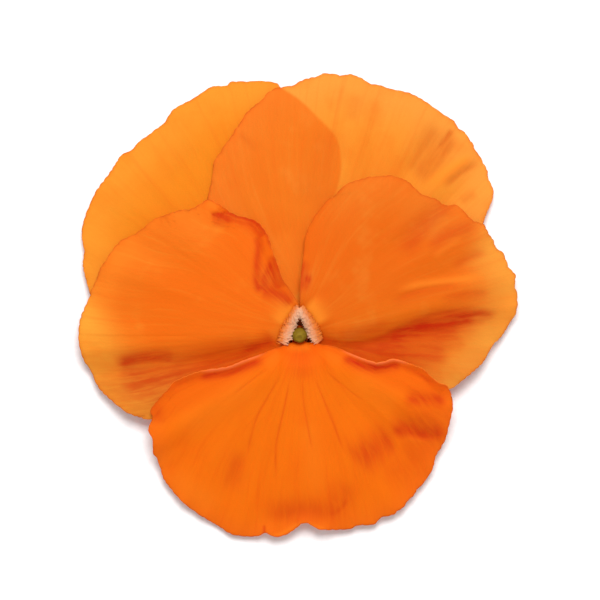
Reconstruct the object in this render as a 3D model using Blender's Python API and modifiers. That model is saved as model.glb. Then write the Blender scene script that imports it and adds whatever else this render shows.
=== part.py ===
"""A pansy bloom, cut just below the flower and lying face up on a flat surface.

Five thin, waved petals overlap round a throat: two large upper petals at the back, two side
petals over them and the broad lip on top of all. Each of them narrows to a claw that stands on
the green receptacle. The lip runs back into a hollow spur. In the throat are the pistil and the
ring of stamens, with a pad of pale hairs at the mouth of each side petal. Five sepals stand
round the receptacle behind the petals, and the short cut stem bends away along the surface.

Shapes are worked out in millimetres from the axis of the throat, with +Y towards the upper
petals and z = 0 on the surface that the flower lies on.
"""

import math
import random

import bmesh
import bpy
import numpy as np

MM = 0.001

# The axis of the throat, from the middle of the bloom's box
THROAT = (0.245, -4.165)

# Thickness of petals, sepals and pads, and the clear space between two layers
BLADE = 0.6
CLEARANCE = 0.35
PITCH = BLADE + CLEARANCE
# The middle of a petal that lies flat on the surface
FLOOR_LEVEL = 0.5 * BLADE + 0.03

# Upper petals: height at the throat and the fall to their far margins
BACK_CREST = 5.3
BACK_FALL = 5.0
BACK_REACH = 36.0

# Side petals: the mouth of the throat, the crest round it and the fall beyond
SIDE_CREST = 8.6
SIDE_MOUTH_DROP = 2.0
SIDE_MOUTH_RADIUS = 1.4
SIDE_CREST_RADIUS = 5.5
SIDE_FALL = 5.6
SIDE_REACH = 31.0
# The furrow along each side petal, below which it lies lower
FURROW_DEPTH = 1.9
FURROW_WIDTH = 3.4

# Lip
LIP_CREST = 8.0
LIP_MOUTH_DROP = 1.3
LIP_MOUTH_RADIUS = 1.3
LIP_CREST_RADIUS = 4.5
LIP_FALL = 6.4
LIP_REACH = 28.4

# Receptacle and the level on which the petal claws stand
RECEPTACLE_RADIUS = 2.5
RECEPTACLE_TOP = 3.15
RECEPTACLE_FOOT = 1.7
CLAW_FOOT = 3.52
CLAW_RADIUS = 2.45

# Spur of the lip: a hollow tail under the throat
SPUR_AXIS = (0.0, -2.35)
SPUR_RADIUS = 1.3
SPUR_BORE = 0.65
SPUR_TOP = 3.1
SPUR_CLEARANCE = 0.3
# The blunt tip stands on the surface with a small flat spot of this radius
SPUR_FLAT = 0.8
SPUR_FLOOR = 0.75

# Pistil and stamens
OVARY_RADIUS = 0.6
STIGMA_RADIUS = 1.0
STIGMA_LEVEL = 7.6
ANTHER_RING_INNER = 0.92
ANTHER_RING_OUTER = 1.36
ANTHER_COUNT = 5
ANTHER_SHOULDER = 4.95
# Their tips lean in round the style
ANTHER_TIP_ROOT = 0.3
ANTHER_TIP_END = 0.08
ANTHER_TIP_LENGTH = 1.6
ANTHER_TIP_LEAN = 0.2
# The hollow in the top of the stigma
HOLLOW_RADIUS = 0.36
HOLLOW_OFFSET = 0.42
STYLE_RADIUS = 0.28

# Stem
STEM_RADIUS = 0.9
STEM_BEARING = 54.0
STEM_LEVEL = STEM_RADIUS + 0.03
# Its run along that bearing: distance, level and bend to the side
STEM_RUN = (
    (0.35, 2.5, 0.0), (0.5, 1.8, 0.0), (1.05, 1.2, 0.0), (2.0, STEM_LEVEL + 0.03, 0.0),
    (4.0, STEM_LEVEL, 0.0), (8.0, STEM_LEVEL, 0.25), (12.5, STEM_LEVEL, 0.7), (16.5, STEM_LEVEL, 1.3),
)

# Beards: the middle lines of their pads, from the top down, and their hairs
BEARD_LEFT_LINE = ((-0.5, 3.7), (-1.72, 1.45), (-2.8, -0.8))
BEARD_RIGHT_LINE = ((0.5, 3.65), (1.8, 1.6), (2.9, -0.5))
PAD_HALF_WIDTH = 0.58
HAIRS_PER_BEARD = 42
HAIR_LEAN = 0.62
HAIR_LENGTH = 0.85
HAIR_ROOT = 0.17
HAIR_TIP = 0.05
HAIR_SUNK = 0.3
HAIR_SIDES = 5

# Radial ridges (height above 0) and furrows (below 0) of each petal, fanning out of the throat:
# bearing and half width in degrees, height, the radius where it starts and where it is full
UPPER_LEFT_FOLDS = (
    (112.0, 6.0, 0.5, 20.0, 34.0),
    (126.0, 6.0, -0.4, 20.0, 33.0),
    (141.0, 7.0, 0.55, 18.0, 32.0),
    (157.0, 6.0, 0.45, 18.0, 31.0),
)
UPPER_RIGHT_FOLDS = (
    (36.0, 3.5, 0.55, 22.0, 31.0),
    (42.0, 2.6, -0.45, 22.0, 31.0),
    (48.0, 3.4, 0.75, 20.0, 31.0),
    (56.5, 3.6, -0.6, 18.0, 32.0),
    (65.0, 5.0, 0.5, 18.0, 33.0),
    (76.0, 3.4, -0.45, 22.0, 34.0),
    (86.0, 5.0, 0.45, 22.0, 34.0),
    (101.0, 5.0, 0.4, 20.0, 34.0),
)
LEFT_FOLDS = (
    (138.0, 6.0, 0.5, 12.0, 24.0),
    (149.0, 5.0, -0.4, 14.0, 26.0),
    (160.0, 5.0, 0.5, 14.0, 28.0),
    (172.0, 5.0, -0.3, 16.0, 29.0),
    (181.0, 4.0, 0.5, 16.0, 29.0),
    (202.0, 5.0, 0.5, 16.0, 27.0),
)
RIGHT_FOLDS = (
    (62.0, 5.0, 0.5, 10.0, 22.0),
    (42.0, 4.5, -0.7, 11.0, 24.0),
    (33.0, 4.0, 0.6, 12.0, 27.0),
    (23.0, 4.0, -0.55, 12.0, 27.0),
    (15.5, 3.2, 0.5, 13.0, 28.0),
    (10.5, 2.4, -0.3, 14.0, 28.0),
    (-12.0, 5.0, 0.5, 13.0, 26.0),
)
LIP_FOLDS = (
    (-24.0, 4.0, -0.4, 12.0, 20.0),
    (-31.0, 4.0, 0.6, 11.0, 20.0),
    (-38.5, 3.6, -0.75, 10.0, 20.0),
    (-50.0, 5.0, -0.5, 10.0, 20.0),
    (-62.0, 6.0, 0.5, 10.0, 22.0),
    (-85.0, 7.0, 0.5, 8.0, 20.0),
    (-103.0, 2.8, -0.55, 9.0, 20.0),
    (-114.0, 3.6, -0.55, 13.0, 19.0),
    (-127.0, 6.0, 0.5, 10.0, 22.0),
    (-147.0, 6.0, 0.4, 10.0, 20.0),
)

# Outlines of the petals as seen from above, from the throat axis and turning anticlockwise, with
# the places in each list of the two corners: up to the first and from the second the outline
# is a side edge, and between them it is the outer edge
UPPER_LEFT_MARGIN = (
    (0.1, 6.3), (0.5, 11.2), (3.6, 16.8), (5.4, 21.0), (5.8, 24.5), (5.1, 27.6), (2.6, 30.4),
    (-0.1, 33.0), (-2.6, 34.7), (-5.5, 35.7), (-9.5, 35.6), (-12.3, 34.9), (-15.1, 32.8),
    (-17.6, 31.2), (-20.0, 28.8), (-23.7, 25.9), (-25.8, 24.1), (-28.5, 20.3), (-29.8, 17.5),
    (-30.5, 14.0), (-30.3, 10.8), (-30.0, 8.0), (-28.5, 4.1), (-24.4, 0.7), (-18.8, -0.7),
    (-11.8, 0.0), (-6.2, 1.8), (-3.7, 3.2),
)
UPPER_LEFT_CORNERS = (4, 23)
UPPER_RIGHT_MARGIN = (
    (4.3, 4.2), (11.3, 4.9), (18.3, 7.0), (23.2, 10.2), (25.6, 13.3), (26.3, 17.2), (27.2, 19.6),
    (26.5, 22.0), (25.8, 24.2), (24.3, 26.9), (22.3, 29.1), (20.1, 31.1), (18.0, 32.6),
    (15.1, 34.1), (11.3, 35.1), (7.1, 36.6), (3.3, 36.7), (0.1, 35.6), (-2.6, 34.7),
    (-5.3, 32.9), (-7.6, 30.9), (-9.2, 28.3), (-10.9, 26.3), (-12.0, 24.1), (-12.4, 21.0),
    (-12.8, 18.9), (-12.0, 15.8), (-10.0, 12.6), (-6.4, 9.4), (-2.2, 6.6),
)
UPPER_RIGHT_CORNERS = (3, 25)
LEFT_MARGIN = (
    (-0.5, 4.5), (-1.7, 6.6), (-2.9, 9.4), (-3.9, 12.2), (-5.0, 14.8), (-6.9, 16.2),
    (-9.5, 17.0), (-11.7, 18.5), (-12.8, 18.9), (-15.3, 17.5), (-18.8, 16.7), (-21.6, 15.1),
    (-24.9, 13.2), (-27.2, 10.2), (-28.4, 7.7), (-30.2, 3.5), (-30.9, 0.3), (-30.2, -3.5),
    (-28.2, -7.3), (-24.2, -10.8), (-20.9, -11.8), (-17.4, -11.2), (-13.2, -9.4), (-9.0, -6.9),
    (-5.8, -4.3), (-3.7, -2.4),
)
LEFT_CORNERS = (8, 20)
RIGHT_MARGIN = (
    (4.3, -2.4), (8.5, -5.5), (13.0, -7.7), (16.9, -8.5), (20.5, -7.8), (22.8, -6.3),
    (26.4, -2.5), (28.9, 0.7), (30.5, 4.2), (30.2, 8.4), (28.4, 11.6), (26.5, 14.1),
    (25.0, 15.7), (22.5, 17.8), (20.0, 18.3), (17.0, 19.7), (14.4, 21.8), (11.0, 22.1),
    (8.5, 21.4), (5.7, 20.3), (4.0, 18.9), (1.9, 16.2), (0.8, 13.6), (0.4, 10.2),
    (0.1, 7.0), (0.1, 4.5),
)
RIGHT_CORNERS = (3, 18)
LIP_MARGIN = (
    (-2.6, -1.6), (-5.3, -3.0), (-8.8, -4.6), (-13.4, -5.2), (-17.2, -6.9), (-20.6, -10.5),
    (-21.1, -13.3), (-19.5, -18.6), (-16.7, -23.1), (-12.8, -26.0), (-8.3, -28.2),
    (-4.8, -27.7), (-1.9, -28.0), (0.9, -26.3), (3.7, -27.3), (8.2, -26.7), (11.7, -25.5),
    (15.2, -23.2), (18.0, -19.9), (19.9, -15.8), (21.3, -11.2), (20.9, -8.8), (17.1, -5.7),
    (13.4, -4.1), (9.4, -3.8), (6.4, -2.6), (3.2, -1.3),
)
LIP_CORNERS = (5, 21)

# Mouth of each petal, where its claw ends and its blade begins, in the order of the outline
UPPER_LEFT_MOUTH = ((-0.75, 4.35), (-1.9, 3.9), (-3.0, 3.0))
UPPER_RIGHT_MOUTH = ((2.7, 3.2), (1.5, 3.95), (0.0, 4.4))
LEFT_MOUTH = ((-0.22, 2.38), (-1.3, 0.75), (-2.17, -0.84))
RIGHT_MOUTH = ((2.17, -0.42), (1.35, 0.85), (0.36, 1.96))
LIP_MOUTH = ((-1.85, -1.3), (-1.0, -1.35), (0.15, -1.32), (1.3, -1.35), (2.3, -1.0))

# Upturned margins: from one place of the outline to another, rise and width of the turned strip
LEFT_CURLS = (
    ((-1.1, 5.6), (-7.3, 16.4), 1.0, 2.2),
    ((-9.5, 17.0), (-20.0, 16.2), 0.9, 2.6),
)
RIGHT_CURLS = (((17.0, 19.7), (5.7, 20.3), 0.5, 2.0),)
LIP_CURLS = (
    ((-4.7, -2.7), (-20.3, -10.2), 0.9, 1.8),
    ((21.2, -11.0), (6.0, -2.5), 1.0, 1.8),
    ((-8.3, -28.2), (6.4, -27.0), 0.6, 2.4),
)
UPPER_LEFT_CURLS = ()
UPPER_RIGHT_CURLS = (((-2.6, 34.7), (-11.3, 25.5), 0.35, 2.0),)

# Rows of a petal: share of the way along the claw, or of the blade, and its number of columns
CLAW_ROWS = ((0.0, 10), (0.4, 10), (0.75, 12))
BLADE_ROWS = (
    (0.0, 16), (0.1, 20), (0.24, 28), (0.4, 36), (0.57, 44), (0.73, 52), (0.86, 56), (0.94, 56), (1.0, 56),
)

# Sepals: bearing, length and the level of the end of the back lobe
SEPALS = (
    ("sepal_top", 92.0, 13.6, 0.35),
    ("sepal_upper_left", 158.0, 14.4, 0.3),
    ("sepal_lower_left", 218.0, 13.0, 0.06),
    ("sepal_lower_right", 322.0, 13.4, 0.06),
    ("sepal_upper_right", 14.0, 14.0, 0.3),
)
SEPAL_HALF_WIDTH = 2.0
# A sepal from the end of its back lobe to just short of its tip: distance, level and half width
SEPAL_RUN = (
    (3.4, 1.1, 0.78), (3.2, 2.0, 0.66), (3.3, 2.65, 0.64), (3.85, 3.0, 0.85),
    (5.4, 3.15, 1.7), (8.0, 3.0, SEPAL_HALF_WIDTH), (11.0, 2.6, 1.25),
)
SEPAL_LOBE_END = (3.5, 0.62)
SEPAL_TIP = (2.05, 0.12)

# Colours as seen in daylight
ORANGE_LIGHT = (249, 145, 40)
ORANGE_WARM = (248, 120, 27)
ORANGE_DEEP = (244, 108, 22)
HAIR_CREAM = (243, 204, 160)
OLIVE = (143, 120, 40)
ANTHER_ORANGE = (226, 146, 52)
GREEN = (92, 128, 52)
GREEN_STEM = (112, 142, 64)


def smooth_step(t):
    """Ease from 0 to 1 as t runs from 0 to 1."""
    t = np.clip(t, 0.0, 1.0)
    return t * t * (3.0 - 2.0 * t)


def smooth_max(a, b, softness):
    """The larger of two heights, rounded where they meet."""
    return 0.5 * (a + b + np.sqrt((a - b) ** 2 + softness ** 2))


def folds(x, y, rows):
    """Height of a fan of radial ridges and furrows."""
    radius = np.hypot(x, y)
    bearing = np.degrees(np.arctan2(y, x))
    height = np.zeros_like(radius)
    for middle, half_width, rise, start, full in rows:
        turn = (bearing - middle + 180.0) % 360.0 - 180.0
        growth = smooth_step((radius - start) / (full - start))
        height = height + rise * growth * np.exp(-(turn / half_width) ** 2)
    return height


def above(field, x, y, pitch=PITCH):
    """Height of a layer that lies on another one, a pitch away from it at right angles."""
    step = 0.05
    z = field(x, y)
    slope_x = (field(x + step, y) - field(x - step, y)) / (2.0 * step)
    slope_y = (field(x, y + step) - field(x, y - step)) / (2.0 * step)
    return z + pitch * np.sqrt(1.0 + slope_x ** 2 + slope_y ** 2)


def back_dome(x, y):
    """The shallow dome that both upper petals follow."""
    return BACK_CREST - BACK_FALL * (np.hypot(x, y) / BACK_REACH) ** 2


def upper_left_height(x, y):
    """Height of the upper left petal, the lowest layer."""
    z = back_dome(x, y) + folds(x, y, UPPER_LEFT_FOLDS)
    return smooth_max(z, FLOOR_LEVEL, 0.3)


def upper_right_height(x, y):
    """Height of the upper right petal: over the left one, then down to the surface."""
    own = smooth_max(back_dome(x, y) + folds(x, y, UPPER_RIGHT_FOLDS), FLOOR_LEVEL, 0.3)
    lifted = above(upper_left_height, x, y) - 3.0 * smooth_step((x - 6.8) / 10.0)
    return smooth_max(own, lifted, 0.4)


def side_arch(x, y):
    """The arch of a side petal: up from the mouth of the throat to its crest, then down."""
    radius = np.hypot(x, y)
    inward = 1.0 - np.clip((radius - SIDE_MOUTH_RADIUS) / (SIDE_CREST_RADIUS - SIDE_MOUTH_RADIUS), 0.0, 1.0)
    outward = np.clip(radius - SIDE_CREST_RADIUS, 0.0, None) / (SIDE_REACH - SIDE_CREST_RADIUS)
    return SIDE_CREST - SIDE_MOUTH_DROP * inward ** 1.6 - SIDE_FALL * outward ** 1.5


def furrow_step(y, middle_line):
    """How far a side petal lies lower below its furrow."""
    return FURROW_DEPTH * smooth_step((middle_line - y) / FURROW_WIDTH + 0.5)


def left_height(x, y):
    """Height of the left side petal, over both upper petals."""
    line = -0.57 + 0.113 * x
    own = side_arch(x, y) - furrow_step(y, line) + folds(x, y, LEFT_FOLDS)
    lifted = above(upper_right_height, x, y) - 0.95 * smooth_step((-13.8 - x) / 5.0)
    lifted = lifted - 2.0 * smooth_step((0.5 - y) / 5.0)
    return smooth_max(own, lifted, 0.4)


def right_height(x, y):
    """Height of the right side petal, over the upper right one."""
    past = np.clip(x - 5.5, 0.0, None)
    line = -0.8 + 0.27 * past - 0.0035 * past ** 2
    own = side_arch(x, y) - furrow_step(y, line) + folds(x, y, RIGHT_FOLDS)
    lifted = above(upper_right_height, x, y) - 2.0 * smooth_step((4.5 - y) / 5.0)
    return smooth_max(own, lifted, 0.4)


def lip_height(x, y):
    """Height of the lip, over both side petals."""
    radius = np.hypot(x, y)
    inward = 1.0 - np.clip((radius - LIP_MOUTH_RADIUS) / (LIP_CREST_RADIUS - LIP_MOUTH_RADIUS), 0.0, 1.0)
    outward = np.clip(radius - LIP_CREST_RADIUS, 0.0, None) / (LIP_REACH - LIP_CREST_RADIUS)
    own = LIP_CREST - LIP_MOUTH_DROP * inward ** 1.6 - LIP_FALL * outward ** 1.3
    own = own + folds(x, y, LIP_FOLDS)
    left_edge = -4.4 + 0.58 * (x + 3.9)
    right_edge = np.maximum(-3.6 - 0.5 * (x - 4.8), -9.4)
    over_left = above(left_height, x, y) - 4.0 * smooth_step((left_edge - y) / 5.0)
    over_right = above(right_height, x, y) - 4.0 * smooth_step((right_edge - y) / 5.0)
    over_left = over_left - 6.0 * smooth_step((x + 3.2) / 3.0)
    over_right = over_right - 6.0 * smooth_step((4.0 - x) / 3.0)
    return smooth_max(smooth_max(own, over_left, 0.4), over_right, 0.4)


def spline_at(points, t):
    """Points of a smooth curve through the given ones, at positions t counted in points."""
    points = np.asarray(points, dtype=float)
    t = np.clip(np.asarray(t, dtype=float), 0.0, len(points) - 1.0)
    first = np.minimum(t.astype(int), len(points) - 2)
    local = (t - first)[:, None]
    before = points[np.maximum(first - 1, 0)]
    start = points[first]
    end = points[first + 1]
    after = points[np.minimum(first + 2, len(points) - 1)]
    # The end spans use the chord itself for the missing neighbour
    before = np.where((first == 0)[:, None], 2.0 * start - end, before)
    after = np.where((first == len(points) - 2)[:, None], 2.0 * end - start, after)
    linear = 0.5 * (end - before)
    square = before - 2.5 * start + 2.0 * end - 0.5 * after
    cube = 1.5 * (start - end) + 0.5 * (after - before)
    return start + local * (linear + local * (square + local * cube))


def even_run(points, start, end, shares):
    """Points of a smooth curve between two of its places, at shares of the length between them."""
    fine = spline_at(points, np.linspace(start, end, 400))
    run = np.concatenate(([0.0], np.cumsum(np.hypot(*np.diff(fine, axis=0).T))))
    wanted = np.asarray(shares) * run[-1]
    return np.column_stack([np.interp(wanted, run, fine[:, axis]) for axis in (0, 1)])


def nearest_on(plan, outline):
    """How far points lie from an outline, and the place in it that is nearest to each."""
    apart = np.hypot(*(plan[:, None] - outline[None]).transpose(2, 0, 1))
    return apart.min(axis=1), apart.argmin(axis=1)


def curl_rise(plan, outline, curls):
    """Rise of the upturned margins at each point of a blade."""
    gaps, place = nearest_on(plan, outline)
    rise = np.zeros(len(plan))
    for first, last, height, width in curls:
        _, (start, end) = nearest_on(np.array((first, last)), outline)
        ease = 0.25 * (end - start)
        window = smooth_step((place - start) / ease) * smooth_step((end - place) / ease)
        rise = rise + height * window * np.clip(1.0 - gaps / width, 0.0, 1.0) ** 2
    return rise


def blade_row(margin, corners, mouth, height, curls, share, columns):
    """One row of a blade, from its mouth (share 0) to its outer edge (share 1).

    The rows blend the mouth into the outer edge and end on the two side edges.
    """
    whole = (mouth[0],) + margin + (mouth[-1],)
    first, second, last = corners[0] + 1, corners[1] + 1, len(whole) - 1
    along = np.linspace(0.0, 1.0, columns + 1)
    across = along[:, None]
    near = even_run(mouth, 0, len(mouth) - 1, along)
    far = even_run(whole, first, second, along)
    side_start = even_run(whole, 0, first, (share,))
    side_end = even_run(whole, last, second, (share,))
    plan = (1.0 - share) * near + share * far
    plan = plan + (1.0 - across) * (side_start - (1.0 - share) * near[0] - share * far[0])
    plan = plan + across * (side_end - (1.0 - share) * near[-1] - share * far[-1])
    outline = spline_at(whole, np.linspace(0.0, last, 900))
    z = height(plan[:, 0], plan[:, 1]) + curl_rise(plan, outline, curls)
    return along, np.column_stack((plan, z))


def claw_row(foot, mouth, height, share, columns):
    """One row of a claw, from its foot on the receptacle (share 0) towards the mouth (share 1)."""
    along = np.linspace(0.0, 1.0, columns + 1)
    low = foot(along)
    top_plan = even_run(mouth, 0, len(mouth) - 1, along)
    top = np.column_stack((top_plan, height(top_plan[:, 0], top_plan[:, 1])))
    # The claw leaves its foot steeply and leans over towards the mouth
    lean = share ** 1.5
    plan = low[:, :2] + lean * (top[:, :2] - low[:, :2])
    z = low[:, 2] + share * (top[:, 2] - low[:, 2])
    return along, np.column_stack((plan, z))


def arc_foot(start, end, radius, level, axis=(0.0, 0.0)):
    """Foot of a claw: an arc round an axis, between two bearings in degrees."""
    def points(along):
        bearing = np.radians(start + (end - start) * along)
        x = axis[0] + radius * np.cos(bearing)
        y = axis[1] + radius * np.sin(bearing)
        return np.column_stack((x, y, np.full_like(x, level)))
    return points


def sheet_mesh(name, rows):
    """An open sheet through rows of points, split into triangles row by row."""
    mesh = bpy.data.meshes.new(name)
    bm = bmesh.new()
    layers = []
    for along, points in rows:
        layers.append((along, [bm.verts.new(point * MM) for point in points]))
    for (near_along, near), (far_along, far) in zip(layers, layers[1:]):
        i = 0
        j = 0
        # The shorter step goes first, so that both rows are followed side by side
        while i < len(near) - 1 or j < len(far) - 1:
            step_near = near_along[i + 1] if i < len(near) - 1 else 2.0
            step_far = far_along[j + 1] if j < len(far) - 1 else 2.0
            if step_far <= step_near:
                bm.faces.new((near[i], far[j], far[j + 1]))
                j += 1
            else:
                bm.faces.new((near[i], far[j], near[i + 1]))
                i += 1
    bm.to_mesh(mesh)
    bm.free()
    mesh.shade_smooth()
    return mesh


def cone_mesh(name, sides, low_radius, top_radius, length):
    """An upright cone or cylinder about its own middle."""
    mesh = bpy.data.meshes.new(name)
    bm = bmesh.new()
    bmesh.ops.create_cone(
        bm, cap_ends=True, segments=sides, depth=length * MM,
        radius1=low_radius * MM, radius2=top_radius * MM,
    )
    bm.to_mesh(mesh)
    bm.free()
    return mesh


def material(name, colour, roughness):
    """A plain non-metallic finish from a screen colour."""
    linear = []
    for channel in colour:
        value = channel / 255.0
        linear.append(value / 12.92 if value <= 0.04045 else ((value + 0.055) / 1.055) ** 2.4)
    finish = bpy.data.materials.new(name)
    finish.use_nodes = True
    shader = finish.node_tree.nodes["Principled BSDF"]
    shader.inputs["Base Color"].default_value = (*linear, 1.0)
    shader.inputs["Roughness"].default_value = roughness
    shader.inputs["Metallic"].default_value = 0.0
    return finish


def place(name, mesh, collection, finish=None):
    """Put a mesh on the throat axis as a named object."""
    obj = bpy.data.objects.new(name, mesh)
    obj.location = (THROAT[0] * MM, THROAT[1] * MM, 0.0)
    collection.objects.link(obj)
    if finish is not None:
        mesh.materials.append(finish)
    return obj


def solidify(obj, thickness):
    """Give an open sheet its thickness, half to each side."""
    shell = obj.modifiers.new("thickness", "SOLIDIFY")
    shell.thickness = thickness * MM
    shell.offset = 0.0
    return shell


def settle(obj):
    """Turn an object's modifiers into its mesh."""
    graph = bpy.context.evaluated_depsgraph_get()
    mesh = bpy.data.meshes.new_from_object(obj.evaluated_get(graph), depsgraph=graph)
    obj.modifiers.clear()
    old = obj.data
    obj.data = mesh
    if old.users == 0:
        bpy.data.meshes.remove(old)
    mesh.shade_smooth()


def combine(obj, tool, operation):
    """Join another object to this one, or cut it out, and drop the other."""
    settle(tool)
    change = obj.modifiers.new("combine", "BOOLEAN")
    change.operation = operation
    change.solver = "EXACT"
    change.object = tool
    settle(obj)
    bpy.data.objects.remove(tool)


def turned(name, profile, sides, collection, centre=(0.0, 0.0), finish=None):
    """A turned solid from a profile of (radius, z) points that runs down its outer side."""
    mesh = bpy.data.meshes.new(name)
    bm = bmesh.new()
    verts = [bm.verts.new((radius * MM, 0.0, z * MM)) for radius, z in profile]
    for a, b in zip(verts, verts[1:]):
        bm.edges.new((a, b))
    bm.to_mesh(mesh)
    bm.free()
    obj = place(name, mesh, collection, finish)
    obj.location.x += centre[0] * MM
    obj.location.y += centre[1] * MM
    screw = obj.modifiers.new("turn", "SCREW")
    screw.steps = sides
    screw.render_steps = sides
    screw.use_merge_vertices = True
    screw.merge_threshold = 0.00001
    return obj


def petal(name, margin, corners, mouth, foot, height, curls, collection, finish):
    """A petal: its claw from the receptacle to the mouth, then its blade to the margin."""
    rows = [claw_row(foot, mouth, height, share, columns) for share, columns in CLAW_ROWS]
    rows += [
        blade_row(margin, corners, mouth, height, curls, share, columns)
        for share, columns in BLADE_ROWS
    ]
    obj = place(name, sheet_mesh(name, rows), collection, finish)
    solidify(obj, BLADE)
    return obj


def add_spur(lip, collection):
    """Run the lip back into its hollow spur, whose blunt tip stands on the surface."""
    profile = (
        (0.0, SPUR_FLOOR),
        (SPUR_BORE, SPUR_FLOOR),
        (SPUR_BORE, SPUR_TOP),
        (SPUR_RADIUS, SPUR_TOP),
        (SPUR_RADIUS, 1.2),
        (SPUR_RADIUS - 0.08, 0.55),
        (SPUR_RADIUS - 0.28, 0.14),
        (SPUR_FLAT, 0.0),
        (0.0, 0.0),
    )
    outer = turned("spur", profile, 20, collection, SPUR_AXIS)
    settle(lip)
    combine(lip, outer, "UNION")


def pad_half_width(share):
    """Half the width of a beard's pad, by share along it: it narrows at both ends."""
    return PAD_HALF_WIDTH * math.sqrt(1.0 - 0.85 * abs(2.0 * share - 1.0) ** 4)


def beard(name, field, centre_line, seed, collection, finish):
    """A pad of hairs that lies on the mouth of a side petal."""
    last = len(centre_line) - 1
    rows = []
    for share in np.linspace(0.0, 1.0, 9):
        spots = np.clip(last * share + np.array((-0.05, 0.0, 0.05)), 0.0, last)
        behind, middle, ahead = spline_at(centre_line, spots)
        along = (ahead - behind) / np.hypot(*(ahead - behind))
        across = np.array((-along[1], along[0]))
        steps = np.linspace(-1.0, 1.0, 5)
        plan = middle + np.outer(steps * pad_half_width(share), across)
        z = above(field, plan[:, 0], plan[:, 1], PITCH + 0.05)
        rows.append((0.5 * (steps + 1.0), np.column_stack((plan, z))))
    pad = place(name, sheet_mesh(name, rows), collection, finish)
    solidify(pad, BLADE)
    settle(pad)

    hairs = bpy.data.collections.new("hairs")
    bpy.context.scene.collection.children.link(hairs)
    draw = random.Random(seed)
    for index in range(HAIRS_PER_BEARD):
        share = (index + 0.5) / HAIRS_PER_BEARD
        middle = spline_at(centre_line, [last * share])[0]
        outward = middle / np.hypot(*middle)
        # Three staggered lines of hairs, which lean more the nearer they are to the mouth
        line = (index % 3) - 1
        spot = middle + outward * (0.6 * line * pad_half_width(share) + draw.uniform(-0.05, 0.05))
        level = float(above(field, spot[:1], spot[1:])[0]) + 0.5 * BLADE
        length = HAIR_LENGTH * draw.uniform(0.8, 1.15)
        lean = HAIR_LEAN - 0.16 * line + draw.uniform(-0.12, 0.12)
        heading = math.atan2(-outward[1], -outward[0]) + draw.uniform(-0.5, 0.5)
        hairs.objects.link(hair(spot, level, length, lean, heading))
    change = pad.modifiers.new("hairs", "BOOLEAN")
    change.operation = "UNION"
    change.solver = "EXACT"
    change.operand_type = "COLLECTION"
    change.collection = hairs
    settle(pad)
    for item in list(hairs.objects):
        bpy.data.objects.remove(item)
    bpy.data.collections.remove(hairs)
    return pad


def hair(spot, level, length, lean, heading):
    """One tapering hair, its root sunk in the pad and its tip leaning towards the throat."""
    whole = length + HAIR_SUNK
    obj = bpy.data.objects.new("hair", cone_mesh("hair", HAIR_SIDES, HAIR_ROOT, HAIR_TIP, whole))
    tilt = (math.sin(lean) * math.cos(heading), math.sin(lean) * math.sin(heading), math.cos(lean))
    reach = 0.5 * whole - HAIR_SUNK
    obj.location = (
        (THROAT[0] + spot[0] + reach * tilt[0]) * MM,
        (THROAT[1] + spot[1] + reach * tilt[1]) * MM,
        (level + reach * tilt[2]) * MM,
    )
    obj.rotation_euler = (0.0, lean, heading)
    return obj


def pistil(collection, finish):
    """Ovary, style and the round stigma with its hollow."""
    profile = [(0.0, STIGMA_LEVEL + STIGMA_RADIUS)]
    for degrees in (65, 42, 18, -8, -34, -58):
        angle = math.radians(degrees)
        radius = STIGMA_RADIUS * math.cos(angle)
        profile.append((radius, STIGMA_LEVEL + STIGMA_RADIUS * math.sin(angle)))
    profile += [
        (STYLE_RADIUS + 0.04, STIGMA_LEVEL - STIGMA_RADIUS - 0.25),
        (STYLE_RADIUS - 0.02, 5.9),
        (STYLE_RADIUS, 5.2),
        (0.9 * OVARY_RADIUS, 4.7),
        (OVARY_RADIUS, 4.2),
        (0.75 * OVARY_RADIUS, CLAW_FOOT),
        (0.0, CLAW_FOOT),
    ]
    obj = turned("pistil", profile, 16, collection, finish=finish)
    settle(obj)
    bpy.ops.mesh.primitive_uv_sphere_add(segments=12, ring_count=8, radius=HOLLOW_RADIUS * MM)
    hollow = bpy.context.active_object
    hollow.location = (
        THROAT[0] * MM,
        (THROAT[1] - HOLLOW_OFFSET) * MM,
        (STIGMA_LEVEL + STIGMA_RADIUS - 0.06) * MM,
    )
    combine(obj, hollow, "DIFFERENCE")
    return obj


def stamens(collection, finish):
    """The five anthers, joined in a ring round the ovary, with their tips round the style."""
    profile = (
        (ANTHER_RING_INNER, CLAW_FOOT),
        (ANTHER_RING_INNER, ANTHER_SHOULDER),
        (ANTHER_RING_INNER + 0.16, ANTHER_SHOULDER + 0.1),
        (ANTHER_RING_OUTER - 0.12, ANTHER_SHOULDER + 0.05),
        (ANTHER_RING_OUTER, ANTHER_SHOULDER - 0.25),
        (ANTHER_RING_OUTER, CLAW_FOOT),
        (ANTHER_RING_INNER, CLAW_FOOT),
    )
    ring = turned("stamens", profile, 20, collection, finish=finish)
    settle(ring)
    weld(ring)
    radius = 0.5 * (ANTHER_RING_INNER + ANTHER_RING_OUTER) - 0.16
    for index in range(ANTHER_COUNT):
        bearing = math.radians(90.0 + 360.0 * index / ANTHER_COUNT)
        mesh = cone_mesh("tip", 8, ANTHER_TIP_ROOT, ANTHER_TIP_END, ANTHER_TIP_LENGTH)
        tip = bpy.data.objects.new("tip", mesh)
        tip.location = (
            (THROAT[0] + radius * math.cos(bearing)) * MM,
            (THROAT[1] + radius * math.sin(bearing)) * MM,
            (ANTHER_SHOULDER + 0.25 * ANTHER_TIP_LENGTH) * MM,
        )
        tip.rotation_euler = (0.0, -ANTHER_TIP_LEAN, bearing)
        collection.objects.link(tip)
        combine(ring, tip, "UNION")
    return ring


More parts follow.
